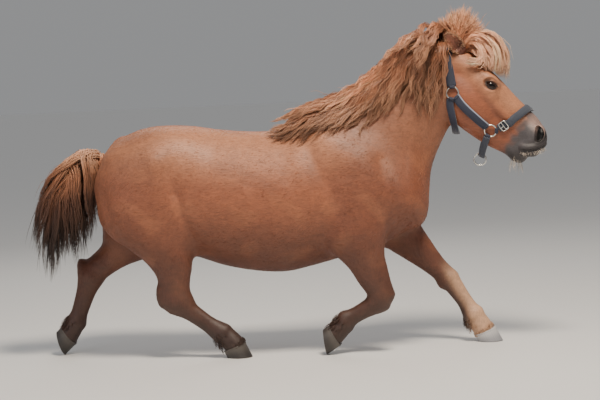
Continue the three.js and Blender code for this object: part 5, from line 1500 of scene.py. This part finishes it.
def strap_mesh(places, width, thick, rest=2.2, free=False, edge=0.0):
    """A padded band along places on the head, with the numbers its weave is drawn by."""
    line = laid(spread(np.array([places], float), 60)[0], rest, free)
    walked = np.r_[0, np.linalg.norm(np.diff(line, axis=0), axis=1).cumsum()]
    count = max(int(walked[-1] / 4), 6)
    evenly = np.linspace(0, walked[-1], count)
    at = np.stack([np.interp(evenly, walked, line[:, k]) for k in range(3)], axis=1)
    for _ in range(2):
        at[1:-1] = (at[:-2] + 2 * at[1:-1] + at[2:]) / 4
    ahead = unit(np.gradient(at, axis=0))
    out = unit(head.slope(at))
    for _ in range(3):
        out[1:-1] = unit(out[:-2] + 2 * out[1:-1] + out[2:])
    across = unit(np.cross(out, ahead))
    share = np.linspace(-1, 1, STRAP_POINTS)
    flat = at[:, None] + across[:, None] * (share[None, :, None] * width / 2)
    flat = laid(flat.reshape(-1, 3), rest, free).reshape(flat.shape)
    puff = thick * (0.55 + 0.45 * (1 - share**4))
    channel = 1 - 0.22 * np.exp(-(((np.abs(share) - 0.72) / 0.06) ** 2))
    outer = flat + out[:, None] * (puff * channel)[None, :, None]
    rings = np.concatenate([flat, outer[:, ::-1]], axis=1)
    along = np.repeat(np.linspace(0, walked[-1], count), 2 * STRAP_POINTS)
    side_share = np.tile(np.r_[share, share[::-1]], count)
    rim = np.tile(np.r_[share * 0, (share[::-1] * (1 if edge > 0 else -1) > 0.8) * abs(edge)], count)
    points, faces = swept(rings)
    return points, faces, {"along_strap": along, "across_strap": side_share * width / 2, "edge_strap": rim}


def add_strap(name, places, width, thick, finish, replaces, **more):
    points, faces, values = strap_mesh([in_head(*place) for place in places], width, thick, **more)
    mesh_piece(name, points, faces, finish, None, replaces, values=values)
    return points


HALF_CROWN = [(56, -70, 84), (16, -41, 80), (-30, -9, 76), (-52, 25, 64), (-61, 52, 36)]
crown = [(a, t, -o) for a, t, o in HALF_CROWN] + [(-64, 66, 0)] + HALF_CROWN[::-1]
add_strap("crownpiece_band", crown, 34, 6, webbing, ["halter_crownpiece"])
CHEEK = [(93, -86, 80), (120, -91, 85), (150, -93, 88), (195, -92, 84), (245, -90, 68)]
for side, word in ((RIGHT, "right"), (LEFT, "left")):
    cheek = [(a, t, side * o) for a, t, o in CHEEK]
    add_strap("cheek_band_" + word, cheek, 29, 5.5, webbing, ["halter_cheek_strap_" + word], edge=-side * 1.0)
noseband = [(278 + 34 * (1 - abs(t)), 62 - 126 * abs(t) ** 1.6, 60 * t) for t in np.linspace(-1, 1, 13)]
add_strap("noseband_band", noseband, 28, 6, plain_webbing, ["halter_noseband"])
THROAT = [(86, -104, 80), (98, -120, 79), (138, -148, 74), (172, -170, 48), (184, -178, 0)]
throat = [(a, t, -o) for a, t, o in THROAT] + THROAT[:-1][::-1]
add_strap("throat_band", throat, 26, 5, webbing, ["halter_throat_strap"], free=True)
CHIN = [(270, -112, 57), (288, -148, 36), (306, -176, 0)]
chin = [(a, t, -o) for a, t, o in CHIN] + CHIN[:-1][::-1]
add_strap("chin_band", chin, 24, 5, plain_webbing, ["halter_chin_strap"], free=True)
print("five bands of webbing")

# %% [markdown]
# Rings and buckle are bent and welded wire, plated and polished. Plated steel is a metal with a
# low roughness, slightly worn, so the lamps show in it as soft streaks.

# %% Rings, loops and the buckle
RING_WIRE = 3.0
RING_RADIUS = 21
plated = material("steel wire, welded and bright plated")
wear = node(plated, "ShaderNodeTexNoise", Scale=1 / (9 * MM), Detail=3.0)
rough = node(plated, "ShaderNodeMapRange", Value=wear.outputs["Fac"], To_Min=0.18, To_Max=0.3)
plated_shader = node(plated, "ShaderNodeBsdfPrincipled", Base_Color=(*linear("#d8d6cf"), 1),
                     Metallic=1.0, Roughness=rough.outputs[0])
finish_surface(plated, plated_shader)


def wire_mesh(line, radius, closed=True, around=14):
    """A round wire along a line of places."""
    ahead = np.roll(line, -1, axis=0) - np.roll(line, 1, axis=0) if closed else np.gradient(line, axis=0)
    ahead = unit(ahead)
    normal = np.cross(line[len(line) // 3] - line[0], line[2 * len(line) // 3] - line[0])
    normal = unit(normal) if np.linalg.norm(normal) > 1 else unit(np.cross(ahead[0], [0.31, 0.87, 0.4]))
    side = unit(np.cross(ahead, normal))
    turn = np.linspace(0, 2 * math.pi, around, endpoint=False)[None, :, None]
    rings = line[:, None] + radius * (np.cos(turn) * side[:, None] + np.sin(turn) * normal)
    if closed:
        rings = np.concatenate([rings, rings[:1]])
        points, faces = swept(rings, close_ends=False)
        whole = len(line) * around
        return points[:whole], faces % whole
    return swept(rings)


def joined_meshes(meshes):
    """Several meshes as one: points and faces."""
    points, faces, start = [], [], 0
    for part_points, part_faces in meshes:
        points.append(part_points)
        faces.append(part_faces + start)
        start += len(part_points)
    return np.concatenate(points), np.concatenate(faces)


def ring_line(at, normal, radius, count=72):
    first = unit(np.cross(normal, [0.3, 0.2, 1]))
    second = np.cross(normal, first)
    turn = np.linspace(0, 2 * math.pi, count, endpoint=False)[:, None]
    return at + radius * (np.cos(turn) * first + np.sin(turn) * second)


def loop_round(at, axis, width, inner=3.6, thick=2.6):
    """A short end of webbing that goes round a ring's wire."""
    axis = unit(axis)
    first = unit(np.cross(axis, [0.2, 1, 0.3]))
    second = np.cross(axis, first)
    rows = []
    for turn in np.linspace(0, 2 * math.pi, 28, endpoint=False):
        ray = math.cos(turn) * first + math.sin(turn) * second
        rows.append([at + ray * r + axis * w * width / 2 for r, w in (
            (inner, -1), (inner, 0), (inner, 1), (inner + thick * 0.7, 1), (inner + thick, 0.8),
            (inner + thick, 0), (inner + thick, -0.8), (inner + thick * 0.7, -1))])
    rows = np.array(rows)
    points, faces = swept(np.concatenate([rows, rows[:1]]), close_ends=False)
    return points[: rows.shape[0] * rows.shape[1]], faces % (rows.shape[0] * rows.shape[1])


RING_PLACES = {"upper": (76, -85, 80), "lower": (263, -88, 60)}
LOOPS = {
    "upper": [(62, -73, 82), (90, -86, 81), (88, -103, 80)],
    "lower": [(246, -89, 66), (274, -77, 58), (268, -106, 57)],
}
loops = []
for side, word in ((RIGHT, "right"), (LEFT, "left")):
    for level, (along, top, out) in RING_PLACES.items():
        at = laid(in_head(along, top, side * out)[None], 5, np.array([False]))[0]
        normal = unit(head.slope(at[None]))[0]
        points, faces = wire_mesh(ring_line(at, normal, RING_RADIUS), RING_WIRE)
        mesh_piece("ring_" + level + "_wire_" + word, points, faces, plated, None,
                   ["halter_ring_" + level + "_" + word])
        for along_loop, top_loop, out_loop in LOOPS[level]:
            away = in_head(along_loop, top_loop, side * out_loop) - at
            away = unit(away - normal * (away @ normal))
            loops.append(loop_round(at + away * RING_RADIUS, np.cross(away, normal), 20))
points, faces = joined_meshes(loops)
mesh_piece("webbing_loops", points, faces, webbing, None, values={
    "along_strap": points[:, 2], "across_strap": points[:, 0], "edge_strap": np.zeros(len(points))})
print("rings and", len(loops), "loops")

# %% [markdown]
# The buckle is a square of bent wire with a bar across and a tongue that lies over it. It is
# made as three wires, as the real one is.

# %% The ring for a lead and the buckle
chin_middle = in_head(306, -176, 0)
lead_at = chin_middle + unit(head.slope(chin_middle[None]))[0] * 11
points, faces = wire_mesh(ring_line(lead_at, np.array([0.0, 1, 0]), 21), RING_WIRE)
mesh_piece("lead_ring_wire", points, faces, plated, None, ["halter_lead_ring"])

BUCKLE = {"at": (284, -44, -62), "wide": 36, "long": 30, "off": 10, "wire": 2.1}
buckle_at = laid(in_head(*BUCKLE["at"])[None], BUCKLE["off"], np.array([False]))[0]
buckle_out = unit(head.slope(buckle_at[None]))[0]
buckle_down = in_head(-0.15, -1, 0) - HEAD_ORIGIN
buckle_down = unit(buckle_down - buckle_out * (buckle_down @ buckle_out))
buckle_across = np.cross(buckle_out, buckle_down)
turn = np.linspace(0, 2 * math.pi, 64, endpoint=False)[:, None]
square = [np.sign(f(turn)) * np.abs(f(turn)) ** 0.45 for f in (np.cos, np.sin)]
half_wide, half_long = BUCKLE["wide"] / 2 - BUCKLE["wire"], BUCKLE["long"] / 2 - BUCKLE["wire"]
outline = buckle_at + buckle_across * square[0] * half_wide + buckle_down * square[1] * half_long
crown_bend = buckle_out * (1.5 - 3 * np.abs(square[0]) ** 2)
frame_wire = wire_mesh(outline + crown_bend, BUCKLE["wire"])
bar = np.linspace(-1, 1, 9)[:, None]
bar_line = buckle_at + buckle_across * bar * half_wide + buckle_out * (1.2 - 2.4 * bar**2)
bar_wire = wire_mesh(bar_line, 1.7, closed=False)
reached = bar / 2 + 0.5
tongue_line = buckle_at + buckle_across * 0.3 + buckle_down * (half_long + 2) * reached
tongue_line = tongue_line + buckle_out * (2.6 * np.sin(reached * math.pi) + 1)
tongue = wire_mesh(tongue_line, 1.5, closed=False)
points, faces = joined_meshes([frame_wire, bar_wire, tongue])
mesh_piece("buckle_wire", points, faces, plated, None, ["halter_buckle"])
print("buckle and ring", len(points), "points")

# %% [markdown]
# A hoof is a cone of horn cut off at a slant, growing in fine rings from the soft band at the
# coronet, with the frog and its grooves on the sole. It is made from rings of points, whose size
# ripples a little with each growth ring. The left fore hoof is pale and the others are dark.

# %% Hooves
HOOVES = {
    "fore_right": ((129.5, -100, 45), (0.12, 0, -0.993), "#2f2a28", "#4d4742"),
    "fore_left": ((713, 100, 0), (1, 0, 0), "#8c8c90", "#b5b3b2"),
    "hind_right": ((-175, -98, 0), (1, 0, 0), "#2d2826", "#4a443f"),
    "hind_left": ((-861, 98, 43), (0.3, 0, -0.954), "#292523", "#443e3a"),
}
SOLE, CORONET = (46, 42), {"half": 38, "wide": 38, "back": 17.5, "up": 38, "rise": 0.4}
HOOF_AROUND, HOOF_RINGS = 96, 40


def hoof_mesh(sole, toe):
    """Points, faces and the height share of a hoof, from the middle of the sole to the coronet."""
    forward = unit(toe)
    upward = np.array([-forward[2], 0, forward[0]])
    turn = np.linspace(0, 2 * math.pi, HOOF_AROUND, endpoint=False)
    heel = np.maximum(-np.cos(turn), 0)
    cleft = np.exp(-(((turn - math.pi) / 0.16) ** 2))
    rings, heights = [], []
    for t in np.linspace(0, 1, HOOF_RINGS):
        ripple_out = 0.35 * math.sin(t * 60) * (1 - t) + 1.6 * float(smooth(0.86, 0.97, t))
        ripple_out -= 1.2 * (t == 0)
        long = SOLE[0] + (CORONET["half"] - SOLE[0]) * t + ripple_out - 7 * cleft * (1 - 0.5 * t)
        wide = SOLE[1] + (CORONET["wide"] - SOLE[1]) * t + ripple_out - 5 * heel * (1 - t)
        x = np.cos(turn) * long - CORONET["back"] * t
        y = np.sin(turn) * wide
        z = (CORONET["up"] + np.cos(turn) * CORONET["half"] * CORONET["rise"]) * t
        rings.append(np.stack([x, y, z], axis=1))
        heights.append(np.full(HOOF_AROUND, t))
    for share, deep in ((0.9, 0.6), (0.8, 2.5), (0.55, 3.6), (0.3, 3.2), (0.08, 2.2)):
        flat = rings[0] * [share, share, 1]
        frog = np.exp(-((flat[:, 1] / (4 + 0.32 * np.maximum(10 - flat[:, 0], 0))) ** 2)) * (flat[:, 0] < 16)
        flat[:, 2] += deep - 2.6 * frog * (deep > 1)
        rings.insert(0, flat)
        heights.insert(0, np.full(HOOF_AROUND, -0.1))
    top = rings[-1] * 0.6 + rings[-1].mean(0) * 0.4
    rings.append(top + [0, 0, 3])
    heights.append(np.full(HOOF_AROUND, 1.05))
    local = np.array(rings)
    places = np.array(sole) + local[..., :1] * forward + local[..., 1:2] * [0, 1, 0] + local[..., 2:] * upward
    points, faces = swept(places)
    return points, faces[:, ::-1], np.array(heights).ravel(), np.tile(turn, len(rings))


horn = material("hoof horn, rasped and weathered")
horn_paint = node(horn, "ShaderNodeAttribute", {"attribute_name": "coat_colour"})
horn_lines = node(horn, "ShaderNodeAttribute", {"attribute_name": "horn_line"})
horn_noise = node(horn, "ShaderNodeTexNoise", Scale=1 / (9 * MM), Detail=4.0)
horn_mixed = node(horn, "ShaderNodeMath", {"operation": "MULTIPLY_ADD"}, i0=horn_noise.outputs["Fac"], i1=0.7,
                  i2=horn_lines.outputs["Fac"])
horn_shade = node(horn, "ShaderNodeMapRange", Value=horn_mixed.outputs[0], To_Min=0.78, To_Max=1.2)
horn_colour = node(horn, "ShaderNodeVectorMath", {"operation": "MULTIPLY"}, i0=horn_paint.outputs["Color"],
                   i1=horn_shade.outputs[0])
horn_bump = node(horn, "ShaderNodeBump", Strength=0.5, Distance=0.5 * MM, Height=horn_mixed.outputs[0])
finish_surface(horn, node(horn, "ShaderNodeBsdfPrincipled", Base_Color=horn_colour.outputs[0], Roughness=0.5,
                          IOR=1.54, Normal=horn_bump.outputs[0]))
for name, (sole, toe, low, high) in HOOVES.items():
    points, faces, height, turn = hoof_mesh(sole, toe)
    colour = mix(linear(low), linear(high), smooth(0.2, 0.9, height))
    colour = mix(colour, linear("#3a322e"), 0.5 * (1 - smooth(0.0, 0.12, height)))
    lines = 0.5 + 0.3 * np.sin(turn * 41 + np.sin(turn * 9)) * smooth(0, 0.1, height)
    mesh_piece("horn_" + name, points, faces, horn, colour, ["hoof_" + name],
               values={"horn_line": lines})
print("hooves", len(points), "points each")

# %% [markdown]
# Feather is the longer hair at the back of each fetlock and over the coronet. A shetland in summer
# has little of it. Whiskers and lashes are single stiff hairs, and each is a rod of its own.

# %% Feather and coronet hair
FETLOCKS = {
    "fore_right": ((204, -100, 108), (-0.72, 0, -0.69)), "fore_left": ((656, 100, 100), (0.52, 0, -0.85)),
    "hind_right": ((-232, -98, 90), (0.66, 0, -0.75)), "hind_left": ((-799, 98, 117), (-0.58, 0, -0.81)),
}


def onto_skin(places, depth):
    """Moves places to a depth under the body's surface."""
    for _ in range(6):
        places = places + unit(body.slope(places)) * (-depth - body.read(places))[:, None]
    return places


def feather():
    random = np.random.default_rng(61)
    roots, ways, lengths = [], [], []
    for name, (at, down) in FETLOCKS.items():
        at, down = np.array(at, float), unit(down)
        toe = unit(HOOVES[name][1])
        behind = unit(-toe + down * (toe @ down))
        for _ in range(60):
            angle = random.normal(0, 0.6)
            ray = behind * math.cos(angle) + np.array([0, math.sin(angle), 0])
            roots.append(at + down * random.uniform(-10, 36) + ray * 36)
            ways.append(unit(down * 1.0 + ray * 0.55 + [0, 0, -0.35]))
            lengths.append(random.uniform(16, 34) * (1.1 - 0.5 * abs(angle)))
        for _ in range(90):
            angle = random.uniform(0, 2 * math.pi)
            ray = behind * math.cos(angle) + np.array([0, math.sin(angle), 0])
            roots.append(at + down * random.uniform(58, 70) + ray * 40)
            ways.append(unit(down - ray * 0.05))
            lengths.append(random.uniform(6, 11))
    roots = onto_skin(np.array(roots), 1.0)
    ways, lengths = np.array(ways), np.array(lengths)[:, None]
    rows = np.stack([roots, roots + ways * lengths * 0.35, roots + ways * lengths * 0.7 + [0, 0, -1.5],
                     roots + ways * lengths + [0, 0, -4]], axis=1)
    guides = spread(rows, GUIDE_STEPS)
    outward = np.repeat(unit(body.slope(roots))[:, None], GUIDE_STEPS, axis=1)
    made = clumps_to_strands(random, guides, outward, 2, np.full(len(rows), 7.0), 0.8, 40, 0.0, clear=0.4)
    path, clump, out = made
    path[..., 2] = np.maximum(path[..., 2], 2)
    thick = 0.8 * random.uniform(0.8, 1.2, len(path))
    points, faces, strand, place = strand_mesh(path, out, thick)
    base = coat_colour(path[:, 1]) * random.uniform(0.75, 1.3, len(path))[:, None]
    piece = mesh_piece("feather", points, faces, tail_hair, base[strand])
    put_on_unwrap(piece, points, faces, np.repeat(path[:, 1], RINGS * 3, axis=0))
    print("feather", len(path), "strands", len(faces), "triangles")


feather()

# %% [markdown]
# Whiskers are few, long and stiff, and lashes are short, dark and curved. Both are single rods,
# because tufts would look like a beard here.

# %% Whiskers and lashes


def whiskers():
    """Long pale hairs on the chin, and a fringe of short ones along the lower lip."""
    random = np.random.default_rng(67)
    rows = []
    for side in (RIGHT, LEFT):
        lip = chain(MOUTH, 60)
        for number in range(130):
            chin_hair = number < 34
            if chin_hair:
                along, top = random.uniform(384, 420), random.uniform(-104, -88)
            else:
                along, top = lip[number % 60] + [5, -7] + random.normal(0, 2.5, 2)
            root = on_head(along, top, side, 1.0) * [1, random.uniform(0.1, 1) if chin_hair else 1, 1]
            out = unit(head.slope(root[None]))[0]
            root = root - out * head.read(root[None])[0]
            way = unit(out + [0.1, 0, -1.2 if chin_hair else -0.25] + random.normal(0, 0.15, 3))
            reach = random.uniform(18, 46) if chin_hair else random.uniform(6, 14)
            rows.append([root, root + way * reach * 0.4, root + way * reach * 0.75 + [0, 0, -1.5],
                         root + way * reach + [0, 0, -4]])
    path = spread(np.array(rows), RINGS)
    out = np.repeat(unit(np.cross(path[:, -1] - path[:, 0], [0.3, 1, 0.2]))[:, None], RINGS, axis=1)
    points, faces, strand, place = strand_mesh(path, out, 0.42)
    light = random.uniform(0.6, 1.15, len(path))[strand][:, None]
    piece = mesh_piece("whiskers", points, faces, tail_hair, linear("#cdc0b2") * light)
    put_on_unwrap(piece, points, faces, np.repeat(path[:, 1], RINGS * 3, axis=0))
    return len(path)


def lashes():
    random = np.random.default_rng(71)
    rows = []
    for side in (RIGHT, LEFT):
        ahead, upward, out = eye_axes(side)
        for k in range(70):
            upper = k < 52
            across = random.uniform(-0.86, 0.9) * OPENING["half"]
            edge = OPENING["high"] if upper else -OPENING["low"]
            rise = edge * (1 - (across / OPENING["half"]) ** 2) - OPENING["lean"] * across
            ray = unit(out * EYE_RADIUS + ahead * across + upward * rise)
            root = eye_at(side) + ray * (EYE_RADIUS + (3.2 if upper else 2.4))
            reach = random.uniform(10, 15) if upper else random.uniform(5, 8)
            way = out + ahead * (0.35 + 0.2 * across / OPENING["half"]) + upward * (-0.15 if upper else -0.4)
            way = unit(way + random.normal(0, 0.06, 3))
            lift = upward * (0.12 if upper else -0.05)
            rows.append([
                root - way * 1.5, root + way * reach * 0.4 - lift * reach * 0.3,
                root + way * reach * 0.75, root + way * reach * 0.95 + lift * reach,
            ])
    path = spread(np.array(rows), RINGS)
    out = np.repeat(unit(np.cross(path[:, -1] - path[:, 0], [0.3, 0.2, 1]))[:, None], RINGS, axis=1)
    points, faces, strand, place = strand_mesh(path, out, 0.34)
    colour = np.tile(linear("#1c120e"), (len(points), 1))
    piece = mesh_piece("lashes", points, faces, tail_hair, colour)
    put_on_unwrap(piece, points, faces, np.repeat(path[:, 1], RINGS * 3, axis=0))
    return len(path)


print("whiskers", whiskers(), "lashes", lashes())

# %% [markdown]
# Over the painted skin lie small tufts: flat closed blades of four faces, each a pinch of short
# hair. They break the outline and catch the light as groomed hair does. They follow the lie of
# the coat: back along the trunk, down the neck and legs, and down the face. They are longest on
# the belly and flank and shortest on the face and feet.

# %% Where tufts grow, and which way they lie
TUFT_PIECES, TUFTS_EACH = 3, 23000


def lie_of_coat(points):
    """The way hair lies at places on the pony."""
    x, y, z = points.T
    trunk = np.stack([np.full(len(x), -1.0), 0 * x, np.full(len(x), -0.25)], axis=1)
    neck = np.stack([np.full(len(x), -0.45), 0 * x, np.full(len(x), -0.9)], axis=1)
    face = np.tile(HEAD_AXES[0] - 0.25 * HEAD_AXES[1], (len(x), 1))
    leg = np.stack([0.15 * np.sign(x), 0 * x, np.full(len(x), -1.0)], axis=1)
    rump = np.stack([np.full(len(x), -0.5), 0 * x, np.full(len(x), -0.9)], axis=1)
    way = mix(trunk, rump, 1 - smooth(-620, -400, x))
    way = mix(way, neck, smooth(280, 470, x))
    way = mix(way, face, smooth(590, 660, x))
    way = mix(way, leg, 1 - smooth(300, 440, z))
    waver = [ripple(points, size, turn) for size, turn in ((130, 0.3), (110, 2.2), (120, 4.0))]
    return way + 0.18 * np.stack(waver, axis=1)


def skin_spots(random, count):
    """Places spread over the skin by area, with its normals, away from lids, lips and nostrils."""
    corner = skin_points[skin_faces]
    area = np.linalg.norm(np.cross(corner[:, 2] - corner[:, 0], corner[:, 3] - corner[:, 1]), axis=1)
    middle = corner.mean(1)
    place = (middle - HEAD_ORIGIN) @ HEAD_AXES.T
    weight = area * (1 + 1.2 * (middle[:, 0] > 600)) * (middle[:, 2] > 40)
    weight[(place[:, 0] > 372) & (middle[:, 0] > 700)] = 0
    for side in (RIGHT, LEFT):
        weight[np.linalg.norm(middle - eye_at(side), axis=1) < 40] = 0
    chosen = random.choice(len(skin_faces), count, p=weight / weight.sum())
    shares = random.dirichlet((1, 1, 1, 1), count)
    spots = (corner[chosen] * shares[..., None]).sum(1)
    normals = (skin_normals[skin_faces[chosen]] * shares[..., None]).sum(1)
    return spots, unit(normals)


def coat_tufts(number):
    random = np.random.default_rng(80 + number)
    spots, normals = skin_spots(random, TUFTS_EACH)
    way = lie_of_coat(spots) + random.normal(0, 0.1, spots.shape)
    way = unit(way - normals * (way * normals).sum(1, keepdims=True))
    side = np.cross(normals, way)
    x, z = spots[:, 0], spots[:, 2]
    size = 11 - 4 * (1 - smooth(180, 420, z)) - 5.5 * smooth(590, 680, x)
    size = size * random.uniform(0.7, 1.25, len(spots))
    half = size[:, None] * 0.065
    rise = size[:, None] * random.uniform(0.05, 0.12, (len(spots), 1))
    base = spots - normals * 0.5
    points = np.stack([
        base - side * half, base + side * half,
        base + way * size[:, None] * 0.4 + normals * (0.5 + 0.5 * rise),
        base + way * size[:, None] + normals * rise,
    ], axis=1).reshape(-1, 3)
    blade = np.array([(0, 2, 1), (0, 3, 2), (1, 2, 3), (0, 1, 3)])
    faces = (blade[None] + 4 * np.arange(len(spots))[:, None, None]).reshape(-1, 3)
    light = np.exp(random.normal(0, 0.15, len(spots)))[:, None]
    colour = np.repeat(np.clip(coat_colour(spots) * light * 1.04, 0, 0.9), 4, axis=0)
    piece = mesh_piece("coat_tufts_" + str(number), points, faces, tuft_hair, colour, smoothed=False)
    put_on_unwrap(piece, points, faces, np.repeat(spots, 4, axis=0))
    print("tufts", len(spots), "triangles", len(faces))


tuft_hair = long_hair_material("short summer hair in tufts, groomed flat", 0.62, 0.04)
for number in range(TUFT_PIECES):
    coat_tufts(number)
